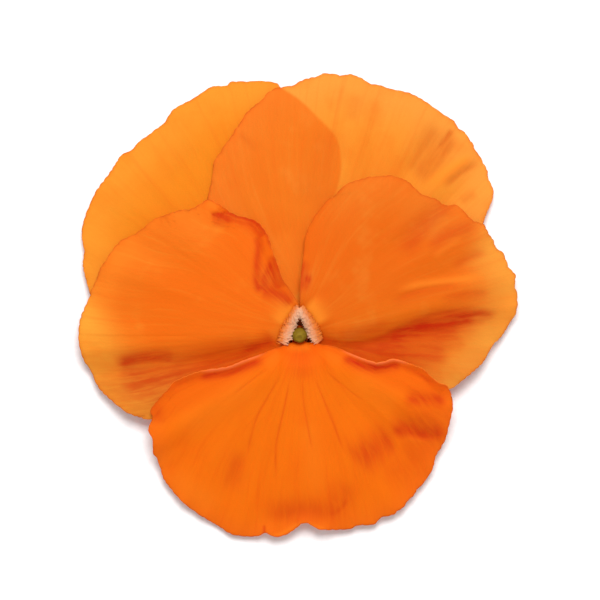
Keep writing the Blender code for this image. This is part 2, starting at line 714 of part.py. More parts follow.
def weld(obj):
    """Join the points of a mesh that coincide."""
    bm = bmesh.new()
    bm.from_mesh(obj.data)
    bmesh.ops.remove_doubles(bm, verts=bm.verts, dist=1e-6)
    bm.to_mesh(obj.data)
    bm.free()


def sepal(name, bearing_degrees, length, lobe_level, collection, finish):
    """A pointed sepal: its back lobe hangs towards the surface and its blade reaches out."""
    lobe = (SEPAL_LOBE_END[0], lobe_level, SEPAL_LOBE_END[1])
    run = (lobe,) + SEPAL_RUN + ((length,) + SEPAL_TIP,)
    bearing = math.radians(bearing_degrees)
    outward = np.array((math.cos(bearing), math.sin(bearing)))
    sideways = np.array((-math.sin(bearing), math.cos(bearing)))
    rows = []
    for share in np.linspace(0.0, 1.0, 17):
        radius, z, half_width = spline_at(run, [share * (len(run) - 1)])[0]
        steps = np.linspace(-1.0, 1.0, 5)
        # The blade is a little hollow above, along its midrib
        lift = 0.3 * steps ** 2 * smooth_step((radius - 4.5) / 3.0) * half_width / SEPAL_HALF_WIDTH
        plan = radius * outward + np.outer(steps * half_width, sideways)
        rows.append((0.5 * (steps + 1.0), np.column_stack((plan, z + lift))))
    obj = place(name, sheet_mesh(name, rows), collection, finish)
    solidify(obj, BLADE)
    return obj


def stalk_solid(collection):
    """The cut stem as a closed solid: it bends from under the receptacle to lie along the surface."""
    bearing = math.radians(STEM_BEARING)
    curve = bpy.data.curves.new("stalk", "CURVE")
    curve.dimensions = "3D"
    curve.bevel_depth = STEM_RADIUS * MM
    curve.bevel_resolution = 3
    curve.use_fill_caps = True
    line = curve.splines.new("POLY")
    path = spline_at(STEM_RUN, np.linspace(0.0, len(STEM_RUN) - 1.0, 20))
    line.points.add(len(path) - 1)
    for point, (radius, z, aside) in zip(line.points, path):
        x = radius * math.cos(bearing) - aside * math.sin(bearing)
        y = radius * math.sin(bearing) + aside * math.cos(bearing)
        point.co = (x * MM, y * MM, z * MM, 1.0)
    tube = bpy.data.objects.new("stalk", curve)
    tube.location = (THROAT[0] * MM, THROAT[1] * MM, 0.0)
    collection.objects.link(tube)
    graph = bpy.context.evaluated_depsgraph_get()
    mesh = bpy.data.meshes.new_from_object(tube.evaluated_get(graph), depsgraph=graph)
    stalk = bpy.data.objects.new("stalk_solid", mesh)
    stalk.matrix_world = tube.matrix_world.copy()
    collection.objects.link(stalk)
    bpy.data.objects.remove(tube)
    weld(stalk)
    return stalk


def stem(collection, finish):
    """The receptacle with the cut stem under it, notched where the spur passes."""
    profile = (
        (0.0, RECEPTACLE_TOP),
        (RECEPTACLE_RADIUS - 0.3, RECEPTACLE_TOP),
        (RECEPTACLE_RADIUS, RECEPTACLE_TOP - 0.3),
        (RECEPTACLE_RADIUS, RECEPTACLE_FOOT + 0.6),
        (RECEPTACLE_RADIUS - 0.7, RECEPTACLE_FOOT),
        (0.0, RECEPTACLE_FOOT - 0.3),
    )
    plate = turned("stem", profile, 24, collection, finish=finish)
    settle(plate)
    combine(plate, stalk_solid(collection), "UNION")
    width = SPUR_RADIUS + SPUR_CLEARANCE
    notch = place("notch", cone_mesh("notch", 24, width, width, 8.0), collection)
    notch.location.x += SPUR_AXIS[0] * MM
    notch.location.y += SPUR_AXIS[1] * MM
    # Half a side's turn keeps its corners off the corners of the receptacle
    notch.rotation_euler.z = math.pi / 24
    combine(plate, notch, "DIFFERENCE")
    return plate


def main():
    """Build the whole bloom."""
    for obj in list(bpy.data.objects):
        bpy.data.objects.remove(obj, do_unlink=True)
    bloom = bpy.data.collections.new("pansy_bloom")
    bpy.context.scene.collection.children.link(bloom)

    light = material("petal_upper", ORANGE_LIGHT, 0.6)
    warm = material("petal_side", ORANGE_WARM, 0.6)
    deep = material("petal_lip", ORANGE_DEEP, 0.6)
    cream = material("beard_hairs", HAIR_CREAM, 0.75)
    olive = material("pistil_green", OLIVE, 0.45)
    anther = material("anthers", ANTHER_ORANGE, 0.6)
    green = material("sepal_green", GREEN, 0.6)
    stalk_green = material("stem_green", GREEN_STEM, 0.55)

    petal(
        "petal_upper_left", UPPER_LEFT_MARGIN, UPPER_LEFT_CORNERS, UPPER_LEFT_MOUTH,
        arc_foot(106.0, 142.0, CLAW_RADIUS, CLAW_FOOT), upper_left_height, UPPER_LEFT_CURLS, bloom, light,
    )
    petal(
        "petal_upper_right", UPPER_RIGHT_MARGIN, UPPER_RIGHT_CORNERS, UPPER_RIGHT_MOUTH,
        arc_foot(38.0, 74.0, CLAW_RADIUS, CLAW_FOOT), upper_right_height, UPPER_RIGHT_CURLS, bloom, light,
    )
    petal(
        "petal_left", LEFT_MARGIN, LEFT_CORNERS, LEFT_MOUTH,
        arc_foot(160.0, 206.0, CLAW_RADIUS, CLAW_FOOT), left_height, LEFT_CURLS, bloom, warm,
    )
    petal(
        "petal_right", RIGHT_MARGIN, RIGHT_CORNERS, RIGHT_MOUTH,
        arc_foot(-26.0, 20.0, CLAW_RADIUS, CLAW_FOOT), right_height, RIGHT_CURLS, bloom, warm,
    )
    wall = 0.5 * (SPUR_RADIUS + SPUR_BORE)
    lip = petal(
        "petal_lip", LIP_MARGIN, LIP_CORNERS, LIP_MOUTH,
        arc_foot(205.0, 335.0, wall, SPUR_TOP - 0.35, SPUR_AXIS), lip_height, LIP_CURLS, bloom, deep,
    )
    add_spur(lip, bloom)
    beard("beard_left", left_height, BEARD_LEFT_LINE, 10, bloom, cream)
    beard("beard_right", right_height, BEARD_RIGHT_LINE, 12, bloom, cream)
    pistil(bloom, olive)
    stamens(bloom, anther)
    for name, bearing, length, lobe_level in SEPALS:
        sepal(name, bearing, length, lobe_level, bloom, green)
    stem(bloom, stalk_green)


main()
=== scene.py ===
"""Dresses a pansy bloom that lies face up: petals, beards, pistil, stamens, sepals and cut stem.

Shapes are worked out in millimetres from the axis of the throat, with +Y towards the upper
petals and z = 0 on the surface that the bloom lies on. They keep the form of the solids that
they stand for, and add the thin blades, toothed margins, veins and hairs of a real bloom.
"""

import logging
import math
import random
from dataclasses import dataclass, field
from enum import Enum
from typing import Callable

import bmesh
import bpy
import numpy as np
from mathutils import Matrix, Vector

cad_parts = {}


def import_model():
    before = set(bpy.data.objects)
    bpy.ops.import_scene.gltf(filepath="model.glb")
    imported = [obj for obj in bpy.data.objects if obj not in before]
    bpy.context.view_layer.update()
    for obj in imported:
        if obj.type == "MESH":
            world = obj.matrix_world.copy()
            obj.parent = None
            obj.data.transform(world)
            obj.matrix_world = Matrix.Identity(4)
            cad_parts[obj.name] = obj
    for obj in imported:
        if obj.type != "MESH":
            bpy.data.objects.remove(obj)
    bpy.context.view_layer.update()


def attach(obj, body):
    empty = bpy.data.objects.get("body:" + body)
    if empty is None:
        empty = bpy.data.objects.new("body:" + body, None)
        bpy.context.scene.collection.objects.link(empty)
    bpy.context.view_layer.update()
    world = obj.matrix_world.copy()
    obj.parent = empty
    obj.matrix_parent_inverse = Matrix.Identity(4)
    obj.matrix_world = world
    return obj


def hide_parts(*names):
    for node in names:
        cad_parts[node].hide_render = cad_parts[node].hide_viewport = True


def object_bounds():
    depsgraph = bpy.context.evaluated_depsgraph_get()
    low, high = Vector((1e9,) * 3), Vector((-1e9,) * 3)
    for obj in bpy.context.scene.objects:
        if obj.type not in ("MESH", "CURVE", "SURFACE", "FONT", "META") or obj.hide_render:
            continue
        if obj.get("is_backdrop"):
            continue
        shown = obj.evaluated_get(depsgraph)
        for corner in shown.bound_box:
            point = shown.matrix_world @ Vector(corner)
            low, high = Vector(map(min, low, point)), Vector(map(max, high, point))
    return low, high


LOG = logging.getLogger("pansy")

MM = 0.001
TURN = 2.0 * math.pi
# Where the axis of the throat stands in the frame, in millimetres
THROAT = (0.245, -4.165)
# Rows and columns of random heights behind the waves, which repeat after them
LATTICE = 64

Array = np.ndarray
Socket = bpy.types.NodeSocket
Material = bpy.types.Material
Thing = bpy.types.Object
Field = Callable[[Array, Array], Array]
Points = tuple[tuple[float, ...], ...]
Colour = tuple[float, float, float, float]


def paint(*screen: int) -> Colour:
    """A shader colour from screen values of red, green and blue, each from 0 to 255."""
    shares = (channel / 255.0 for channel in screen)
    return (*(v / 12.92 if v <= 0.04045 else ((v + 0.055) / 1.055) ** 2.4 for v in shares), 1.0)


def smooth_step(t: Array) -> Array:
    """Ease from 0 to 1 while t runs from 0 to 1."""
    t = np.clip(t, 0.0, 1.0)
    return t * t * (3.0 - 2.0 * t)


def smooth_max(a: Array, b: Array, softness: float) -> Array:
    """The larger of two heights, rounded over a softness in millimetres where they meet."""
    return 0.5 * (a + b + np.sqrt((a - b) ** 2 + softness ** 2))


def sink(past: Array, by: float, over: float) -> Array:
    """A drop that eases in over a distance, from where past is 0 on."""
    return by * smooth_step(past / over)


def ripple(x: Array, y: Array, seed: int) -> Array:
    """Smooth seeded waves between -1 and 1, with hills about one unit across.

    Args:
        x: First coordinate of each point.
        y: Second coordinate of each point.
        seed: Number of the draw.

    Returns:
        The height of the waves at each point.
    """
    table = np.random.default_rng(seed).uniform(-1.0, 1.0, (LATTICE, LATTICE))
    column = np.floor(x).astype(int)
    row = np.floor(y).astype(int)
    across = smooth_step(x - column)
    along = smooth_step(y - row)
    left = column % LATTICE
    right = (column + 1) % LATTICE
    near = row % LATTICE
    far = (row + 1) % LATTICE
    low = table[left, near] + across * (table[right, near] - table[left, near])
    high = table[left, far] + across * (table[right, far] - table[left, far])
    return low + along * (high - low)


def spline_at(points: Points | Array, t: Array) -> Array:
    """Points of a smooth curve through the given ones.

    Args:
        points: The points that the curve passes.
        t: Positions along it, counted in points.

    Returns:
        One point for each position.
    """
    knots = np.asarray(points, dtype=float)
    t = np.clip(np.asarray(t, dtype=float), 0.0, len(knots) - 1.0)
    first = np.minimum(t.astype(int), len(knots) - 2)
    local = (t - first)[:, None]
    before = knots[np.maximum(first - 1, 0)]
    start = knots[first]
    end = knots[first + 1]
    after = knots[np.minimum(first + 2, len(knots) - 1)]
    before = np.where((first == 0)[:, None], 2.0 * start - end, before)
    after = np.where((first == len(knots) - 2)[:, None], 2.0 * end - start, after)
    linear = 0.5 * (end - before)
    square = before - 2.5 * start + 2.0 * end - 0.5 * after
    cube = 1.5 * (start - end) + 0.5 * (after - before)
    return start + local * (linear + local * (square + local * cube))


def even_curve(points: Points | Array, count: int) -> Array:
    """Evenly spaced points along a smooth curve through the given ones.

    Args:
        points: The points that the curve passes.
        count: How many points to give back.

    Returns:
        The points in order, as an array.
    """
    fine = spline_at(points, np.linspace(0.0, len(points) - 1.0, 16 * len(points)))
    steps = np.linalg.norm(np.diff(fine, axis=0), axis=1)
    run = np.concatenate(([0.0], np.cumsum(steps)))
    wanted = np.linspace(0.0, run[-1], count)
    return np.column_stack([np.interp(wanted, run, fine[:, axis]) for axis in range(fine.shape[1])])


def from_path(x: Array, y: Array, path: Array) -> tuple[Array, Array, Array]:
    """How far points lie from a bent line.

    Args:
        x: First coordinate of each point.
        y: Second coordinate of each point.
        path: Points of the line.

    Returns:
        The distance of each point, the share of the line at its nearest spot, and a number that
        is above 0 on the left of the line, as it runs.
    """
    best = np.full(x.shape, np.inf)
    share = np.zeros(x.shape)
    side = np.zeros(x.shape)
    total = np.linalg.norm(np.diff(path, axis=0), axis=1).sum()
    run = 0.0
    for a, b in zip(path, path[1:]):
        reach = b - a
        length = float(np.hypot(*reach))
        past_x = x - a[0]
        past_y = y - a[1]
        t = np.clip((past_x * reach[0] + past_y * reach[1]) / length ** 2, 0.0, 1.0)
        distance = np.hypot(past_x - t * reach[0], past_y - t * reach[1])
        closer = distance < best
        best = np.where(closer, distance, best)
        share = np.where(closer, (run + t * length) / total, share)
        side = np.where(closer, reach[0] * past_y - reach[1] * past_x, side)
        run += length
    return best, share, side


def along(path: Array, shares: Array) -> Array:
    """Points of an evenly spaced path at shares of its length, from 0 to 1."""
    place = shares * (len(path) - 1)
    return np.column_stack([np.interp(place, np.arange(len(path)), column) for column in path.T])


def nearest(path: Array, spot: tuple[float, float]) -> int:
    """The number of the path's point that is nearest to a spot."""
    return int(np.argmin(np.hypot(*(path - np.array(spot)).T)))


def inside(x: Array, y: Array, outline: Array) -> Array:
    """Whether points lie inside a closed outline.

    Args:
        x: First coordinate of each point.
        y: Second coordinate of each point.
        outline: Points of the outline in order.

    Returns:
        True for each point inside.
    """
    crossings = np.zeros(x.shape, dtype=bool)
    for (ax, ay), (bx, by) in zip(outline, np.roll(outline, -1, axis=0)):
        if ay == by:
            continue
        spans = (ay > y) != (by > y)
        crossings ^= spans & (x < ax + (y - ay) * (bx - ax) / (by - ay))
    return crossings


def even_turns(sides: int) -> Array:
    """Angles of the points round a ring."""
    return np.linspace(0.0, TURN, sides, endpoint=False)


def ring(turns: Array, radius: Array, z: Array) -> Array:
    """Points round the axis of the throat at given angles, radii and levels."""
    return np.column_stack(np.broadcast_arrays(radius * np.cos(turns), radius * np.sin(turns), z))


def bands(index: Array) -> Array:
    """Four-sided faces between rings of numbered points, which run up their outside."""
    ahead = np.roll(index, -1, axis=1)
    return np.stack((index[:-1], ahead[:-1], ahead[1:], index[1:]), axis=-1).reshape(-1, 4)


def turned_faces(rings: int, sides: int) -> list:
    """Faces of a turned piece with flat ends, whose rings run down its outside."""
    index = np.arange(rings * sides).reshape(rings, sides)
    return [*bands(index)[:, (0, 3, 2, 1)].tolist(), index[0].tolist(), index[-1, ::-1].tolist()]


def settle(piece: Thing, node: str = "") -> Thing:
    """Attach a piece to the root body, hide the solid that it replaces and log its points.

    Args:
        piece: The piece.
        node: The solid that it replaces, or nothing for an added piece.

    Returns:
        The same piece.
    """
    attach(piece, "root")
    if node:
        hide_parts(node)
    LOG.info("%s: %d points", piece.name, len(piece.data.vertices))
    return piece


@dataclass(frozen=True)
class Arch:
    """A blade's arch: up from the mouth of the throat to its crest, then down to its reach."""

    crest: float
    mouth_drop: float
    mouth_radius: float
    crest_radius: float
    fall: float
    reach: float
    bend: float
    mouth_bend: float = 1.6

    def height(self, x: Array, y: Array) -> Array:
        """Height of the arch.

        Args:
            x: First coordinate of each point.
            y: Second coordinate of each point.

        Returns:
            The height at each point.
        """
        radius = np.hypot(x, y)
        rise = (radius - self.mouth_radius) / (self.crest_radius - self.mouth_radius)
        inward = 1.0 - np.clip(rise, 0.0, 1.0)
        outward = np.clip(radius - self.crest_radius, 0.0, None) / (self.reach - self.crest_radius)
        return self.crest - self.mouth_drop * inward ** self.mouth_bend - self.fall * outward ** self.bend


@dataclass(frozen=True)
class Relief:
    """Height of every petal layer above the surface, as a function of place."""

    pitch: float = 0.95
    floor_level: float = 0.33
    back_crest: float = 5.3
    back_fall: float = 5.0
    back_reach: float = 36.0
    side_arch: Arch = Arch(8.6, 2.0, 1.4, 5.5, 5.6, 31.0, 1.5)
    lip_arch: Arch = Arch(8.0, 1.3, 1.3, 4.5, 6.4, 28.4, 1.3)
    furrow_depth: float = 1.6
    furrow_width: float = 4.2
    # Line of each side petal's furrow: x where it leaves its level (0 for a straight line), the
    # level, and its slope and bend from there
    left_furrow: tuple[float, ...] = (0.0, -0.57, 0.113, 0.0)
    right_furrow: tuple[float, ...] = (5.5, -0.8, 0.27, -0.0035)
    # Rounding where a layer meets the surface, the layer below it, and where the lip does
    floor_ease: float = 0.3
    layer_ease: float = 0.4
    lip_ease: float = 1.2
    fold_share: float = 0.65
    slope_step: float = 0.05
    # Radial folds: bearing and half width in degrees, rise, radius of the start and of full height
    upper_left_folds: Points = (
        (112.0, 6.0, 0.5, 20.0, 34.0), (126.0, 6.0, -0.4, 20.0, 33.0),
        (141.0, 7.0, 0.55, 18.0, 32.0), (157.0, 6.0, 0.45, 18.0, 31.0),
    )
    upper_right_folds: Points = (
        (36.0, 3.5, 0.55, 22.0, 31.0), (42.0, 2.6, -0.45, 22.0, 31.0),
        (48.0, 3.4, 0.75, 20.0, 31.0), (56.5, 3.6, -0.6, 18.0, 32.0),
        (65.0, 5.0, 0.5, 18.0, 33.0), (76.0, 3.4, -0.45, 22.0, 34.0),
        (86.0, 5.0, 0.45, 22.0, 34.0), (101.0, 5.0, 0.4, 20.0, 34.0),
    )
    left_folds: Points = (
        (138.0, 6.0, 0.5, 12.0, 24.0), (149.0, 5.0, -0.4, 14.0, 26.0),
        (160.0, 5.0, 0.5, 14.0, 28.0), (172.0, 5.0, -0.3, 16.0, 29.0),
        (181.0, 4.0, 0.5, 16.0, 29.0), (202.0, 5.0, 0.5, 16.0, 27.0),
    )
    right_folds: Points = (
        (62.0, 5.0, 0.5, 10.0, 22.0), (42.0, 4.5, -0.7, 11.0, 24.0),
        (33.0, 4.0, 0.6, 12.0, 27.0), (23.0, 4.0, -0.55, 12.0, 27.0),
        (15.5, 3.2, 0.5, 13.0, 28.0), (10.5, 2.4, -0.3, 14.0, 28.0),
        (-12.0, 5.0, 0.5, 13.0, 26.0),
    )
    lip_folds: Points = (
        (-24.0, 4.0, -0.4, 12.0, 20.0), (-31.0, 4.0, 0.6, 11.0, 20.0),
        (-38.5, 3.6, -0.75, 10.0, 20.0), (-50.0, 5.0, -0.5, 10.0, 20.0),
        (-62.0, 6.0, 0.5, 10.0, 22.0), (-85.0, 7.0, 0.5, 8.0, 20.0),
        (-103.0, 2.8, -0.55, 9.0, 20.0), (-114.0, 3.6, -0.55, 13.0, 19.0),
        (-127.0, 6.0, 0.5, 10.0, 22.0), (-147.0, 6.0, 0.4, 10.0, 20.0),
    )

    def folds(self, x: Array, y: Array, rows: Points) -> Array:
        """Height of a fan of radial ridges and furrows.

        Args:
            x: First coordinate of each point.
            y: Second coordinate of each point.
            rows: Bearing, half width, rise, start and full radius of each fold.

        Returns:
            The height that the folds add at each point.
        """
        radius = np.hypot(x, y)
        bearing = np.degrees(np.arctan2(y, x))
        height = np.zeros_like(radius)
        for middle, half_width, rise, start, full in rows:
            turn = (bearing - middle + 180.0) % 360.0 - 180.0
            growth = smooth_step((radius - start) / (full - start))
            height = height + self.fold_share * rise * growth * np.exp(-(turn / half_width) ** 2)
        return height

    def above(self, layer: Field, x: Array, y: Array, pitch: float | None = None) -> Array:
        """Height of a layer that lies on another one, a pitch away at right angles.

        Args:
            layer: Height of the layer below.
            x: First coordinate of each point.
            y: Second coordinate of each point.
            pitch: Distance between the layers, or None for the usual one.

        Returns:
            The height of the upper layer.
        """
        step = self.slope_step
        slope_x = (layer(x + step, y) - layer(x - step, y)) / (2.0 * step)
        slope_y = (layer(x, y + step) - layer(x, y - step)) / (2.0 * step)
        gap = self.pitch if pitch is None else pitch
        return layer(x, y) + gap * np.sqrt(1.0 + slope_x ** 2 + slope_y ** 2)

    def back_dome(self, x: Array, y: Array) -> Array:
        """Height of the shallow dome that both upper petals follow."""
        return self.back_crest - self.back_fall * (np.hypot(x, y) / self.back_reach) ** 2

    def on_floor(self, x: Array, y: Array, folds: Points) -> Array:
        """An upper petal's own height, with its folds and down to the surface."""
        return smooth_max(self.back_dome(x, y) + self.folds(x, y, folds), self.floor_level, self.floor_ease)

    def upper_left(self, x: Array, y: Array) -> Array:
        """Height of the upper left petal, the lowest layer."""
        return self.on_floor(x, y, self.upper_left_folds)

    def over(self, layer: Field, own: Array, x: Array, y: Array, drop: Array) -> Array:
        """A petal's own height, or the one at which it lies on a layer, less a drop."""
        return smooth_max(own, self.above(layer, x, y) - drop, self.layer_ease)

    def upper_right(self, x: Array, y: Array) -> Array:
        """Height of the upper right petal: over the left one, then down to the surface."""
        own = self.on_floor(x, y, self.upper_right_folds)
        return self.over(self.upper_left, own, x, y, sink(x - 6.8, by=3.0, over=10.0))

    def furrow(self, x: Array, y: Array, line: tuple[float, ...]) -> Array:
        """How far a side petal lies lower below its furrow.

        Args:
            x: First coordinate of each point.
            y: Second coordinate of each point.
            line: Start, level, slope and bend of the furrow's line.

        Returns:
            The drop at each point.
        """
        start, level, slope, bend = line
        past = x if start == 0.0 else np.clip(x - start, 0.0, None)
        middle = level + slope * past + bend * past ** 2
        return self.furrow_depth * smooth_step((middle - y) / self.furrow_width + 0.5)

    def side(self, x: Array, y: Array, line: tuple[float, ...], folds: Points) -> Array:
        """A side petal's own height, with its furrow and folds."""
        return self.side_arch.height(x, y) - self.furrow(x, y, line) + self.folds(x, y, folds)

    def left(self, x: Array, y: Array) -> Array:
        """Height of the left side petal, over both upper petals."""
        drop = sink(-13.8 - x, by=0.95, over=5.0) + sink(0.5 - y, by=2.0, over=5.0)
        return self.over(self.upper_right, self.side(x, y, self.left_furrow, self.left_folds), x, y, drop)

    def right(self, x: Array, y: Array) -> Array:
        """Height of the right side petal, over the upper right one."""
        own = self.side(x, y, self.right_furrow, self.right_folds)
        return self.over(self.upper_right, own, x, y, sink(4.5 - y, by=2.0, over=5.0))

    def lip(self, x: Array, y: Array) -> Array:
        """Height of the lip, over both side petals.

        Args:
            x: First coordinate of each point.
            y: Second coordinate of each point.

        Returns:
            The height at each point.
        """
        own = self.lip_arch.height(x, y) + self.folds(x, y, self.lip_folds)
        left_edge = -4.4 + 0.58 * (x + 3.9)
        right_edge = np.maximum(-3.6 - 0.5 * (x - 4.8), -9.4)
        over_left = self.above(self.left, x, y) - sink(left_edge - y, by=4.0, over=9.0)
        over_right = self.above(self.right, x, y) - sink(right_edge - y, by=4.0, over=9.0)
        over_left = over_left - sink(x + 3.2, by=6.0, over=3.0)
        over_right = over_right - sink(4.0 - x, by=6.0, over=3.0)
        return smooth_max(smooth_max(own, over_left, self.lip_ease), over_right, self.lip_ease)


class Shade:
    """The shader nodes of one material, added and linked one by one."""

    def __init__(self, name: str) -> None:
        """Start an empty material.

        Args:
            name: Name of the material.
        """
        self.material = bpy.data.materials.new(name)
        self.material.use_nodes = True
        self.tree = self.material.node_tree
        self.tree.nodes.clear()

    def node(self, kind: str, inputs: dict, **settings: object) -> bpy.types.Node:
        """Add a node.

        Args:
            kind: Blender's name for the kind of node.
            inputs: A number, colour or output socket for each input, by name or place.
            **settings: The node's own settings.

        Returns:
            The new node.
        """
        made = self.tree.nodes.new(kind)
        for key, value in settings.items():
            setattr(made, key, value)
        for key, value in inputs.items():
            if isinstance(value, Socket):
                self.tree.links.new(value, made.inputs[key])
            else:
                made.inputs[key].default_value = value
        return made

    def mix(self, factor: object, a: object, b: object) -> Socket:
        """A blend of two colours, of which the factor is the share of the second."""
        return self.node("ShaderNodeMix", {0: factor, 6: a, 7: b}, data_type="RGBA").outputs[2]

    def ramp(self, value: object, start: float, end: float, low: float, high: float) -> Socket:
        """A value that runs from start to end, eased to one that runs from low to high."""
        inputs = {"Value": value, "From Min": start, "From Max": end, "To Min": low, "To Max": high}
        return self.node("ShaderNodeMapRange", inputs, interpolation_type="SMOOTHSTEP").outputs[0]

    def sum(self, kind: str, a: object, b: object) -> Socket:
        """Two numbers combined by one of Blender's operations."""
        return self.node("ShaderNodeMath", {0: a, 1: b}, operation=kind).outputs[0]

    def attribute(self, name: str) -> Socket:
        """The number that a mesh carries under a name."""
        return self.node("ShaderNodeAttribute", {}, attribute_name=name).outputs["Fac"]

    def fan(self, across: float, along: float) -> Socket:
        """Place on the petal's own fan, scaled from side to side and from throat to margin."""
        made = self.node("ShaderNodeUVMap", {}, uv_map="fan").outputs["UV"]
        return self.node("ShaderNodeMapping", {"Vector": made, "Scale": (across, along, 1.0)}).outputs[0]

    def place(self) -> Socket:
        """Place in the piece's own coordinates, in metres."""
        return self.node("ShaderNodeTexCoord", {}).outputs["Object"]

    def noise(
        self, where: object, scale: float, detail: float = 2.0, rough: float = 0.5
    ) -> Socket:
        """Cloudy noise of about 0 to 1, with layers of finer noise of a given strength."""
        inputs = {"Vector": where, "Scale": scale, "Detail": detail, "Roughness": rough}
        return self.node("ShaderNodeTexNoise", inputs).outputs["Fac"]

    def bump(self, height: object, depth: float) -> Socket:
        """A normal bent by a relief of 0 to 1, whose depth is in millimetres."""
        inputs = {"Height": height, "Distance": depth * MM, "Strength": 1.0}
        return self.node("ShaderNodeBump", inputs).outputs[0]

    def surface(self, shader: Socket) -> Material:
        """The finished material, which shows the given shader."""
        self.node("ShaderNodeOutputMaterial", {"Surface": shader})
        return self.material

    def skin(self, base: object, normal: object, roughness: float, gloss: float) -> Socket:
        """An opaque skin with its colour, bent normal, roughness and specular level."""
        inputs = {"Base Color": base, "Normal": normal, "Roughness": roughness, "Specular IOR Level": gloss}
        return self.node("ShaderNodeBsdfPrincipled", inputs).outputs[0]

    def thin(self, skin: object, through: dict, share: float) -> Material:
        """The finished material of a thin piece, through which a share of the light passes."""
        passed = self.node("ShaderNodeBsdfTranslucent", through).outputs[0]
        return self.surface(self.node("ShaderNodeMixShader", {0: share, 1: skin, 2: passed}).outputs[0])


@dataclass(frozen=True)
class PetalFinish:
    """Velvety petal skin: orange and lighter near its margin, with painted shade where other petals lie below,
    reddening that is partly painted shade in its folds and under upturned rims, and painted light and
    highlights along its marks.
    """

    name: str
    ground: Colour
    margin: Colour
    # Deeper tone for random clouds, and painted shade where other petals lie below and let less light through
    deep_tone_and_overlap_shade: Colour
    throat: Colour
    # Reddening along the marks: partly the petal's own red, partly painted shade in folds, creases and under
    # upturned rims
    flush: Colour = paint(196, 44, 5)
    # Yellower tone along the marks: partly the petal's own colour near the beards, partly painted light on
    # ridges, rims and shaded hollows
    yellow_and_painted_light: Colour = paint(252, 156, 44)
    back: Colour = paint(248, 146, 48)
    # Thin darker line along every edge, partly painted contact shadow
    rim: Colour = paint(196, 84, 18)
    # Painted highlight along the lip's upturned rims
    painted_highlight: Colour = paint(250, 140, 84)
    vein: Colour = paint(222, 76, 6)
    vein_strength: float = 0.2
    streak_strength: float = 0.13
    # Clouds and grain: how many a metre, and how strongly they show
    cloud_scale: float = 150.0
    cloud_dark: float = 0.3
    cloud_light: float = 0.2
    grain_scale: float = 9000.0
    grain_strength: float = 0.09
    rim_scale: float = 900.0
    # Counts across and along the petal
    inner_streaks: tuple[float, float] = (24.0, 1.2)
    outer_streaks: tuple[float, float] = (62.0, 2.0)
    flush_and_shade_mottle: tuple[float, float] = (44.0, 4.0)
    vein_wander: tuple[float, float] = (7.0, 3.0)
    veins: float = 30.0
    wander_reach: float = 3.0
    see_through: float = 0.45
    roughness: float = 0.7
    gloss: float = 0.08
    bump_depth: float = 0.08

    def material(self) -> Material:
        """The finish as a material.

        Returns:
            The material.
        """
        s = Shade(self.name)
        base = s.mix(s.attribute("edge"), self.ground, self.margin)
        # Painted shade where other petals lie below, which let less light through
        base = s.mix(s.attribute("under"), base, self.deep_tone_and_overlap_shade)
        base = s.mix(s.attribute("blush"), base, self.throat)
        cloud = s.noise(s.place(), self.cloud_scale, 3.0, 0.55)
        base = s.mix(s.ramp(cloud, 0.45, 0.7, 0.0, self.cloud_dark), base, self.deep_tone_and_overlap_shade)
        base = s.mix(s.ramp(cloud, 0.45, 0.28, 0.0, self.cloud_light), base, self.margin)
        # Streaks that fan out of the throat, finer towards the margin
        inner = s.noise(s.fan(*self.inner_streaks), 1.0, 3.0, 0.6)
        outer = s.noise(s.fan(*self.outer_streaks), 1.0, 3.0, 0.62)
        reach = s.node("ShaderNodeSeparateXYZ", {0: s.fan(1.0, 1.0)}).outputs[1]
        blend = s.ramp(reach, 0.3, 0.8, 0.0, 1.0)
        streak = s.node("ShaderNodeMix", {0: blend, 2: inner, 3: outer}, data_type="FLOAT").outputs[0]
        base = s.mix(s.ramp(streak, 0.48, 0.74, 0.0, self.streak_strength), base, self.vein)
        base = s.mix(s.ramp(streak, 0.48, 0.28, 0.0, self.streak_strength), base, self.margin)
        # Thin veins at even bearings that wander a little
        wander = s.noise(s.fan(*self.vein_wander), 1.0, 2.0, 0.5)
        place = s.node("ShaderNodeSeparateXYZ", {0: s.fan(self.veins, 1.0)}).outputs[0]
        phase = s.sum("ADD", place, s.sum("MULTIPLY", wander, self.wander_reach))
        line = s.ramp(s.sum("PINGPONG", phase, 0.5), 0.38, 0.5, 0.0, 1.0)
        fade = s.ramp(reach, 0.75, 0.1, 0.1, 1.0)
        veins = s.sum("MULTIPLY", line, s.sum("MULTIPLY", fade, self.vein_strength))
        base = s.mix(veins, base, self.vein)
        # Yellower tone from the marks, partly painted light on ridges, rims and shaded hollows
        base = s.mix(s.attribute("yellow_and_painted_light"), base, self.yellow_and_painted_light)
        # Reddening from the marks, partly painted shade in folds, creases and under upturned rims
        mottle = s.ramp(s.noise(s.fan(*self.flush_and_shade_mottle), 1.0, 4.0, 0.65), 0.36, 0.6, 0.62, 1.0)
        base = s.mix(s.sum("MULTIPLY", s.attribute("flush"), mottle), base, self.flush)
        grain = s.noise(s.place(), self.grain_scale, 2.0, 0.6)
        base = s.mix(s.ramp(grain, 0.35, 0.65, 0.0, self.grain_strength), base, self.vein)
        # A thin darker line along every edge, broken up, partly painted contact shadow
        uneven = s.ramp(s.noise(s.place(), self.rim_scale), 0.3, 0.6, 0.2, 0.7)
        base = s.mix(s.sum("MULTIPLY", s.attribute("rim"), uneven), base, self.rim)
        # Painted highlight along the lip's upturned rims
        base = s.mix(s.attribute("painted_highlight"), base, self.painted_highlight)
        base = s.mix(s.attribute("behind"), base, s.mix(veins, self.back, self.deep_tone_and_overlap_shade))
        relief = s.sum("ADD", s.sum("MULTIPLY", streak, 0.75), s.sum("MULTIPLY", grain, 0.25))
        normal = s.bump(relief, self.bump_depth)
        skin = s.skin(base, normal, self.roughness, self.gloss)
        return s.thin(skin, {"Color": base, "Normal": normal}, self.see_through)


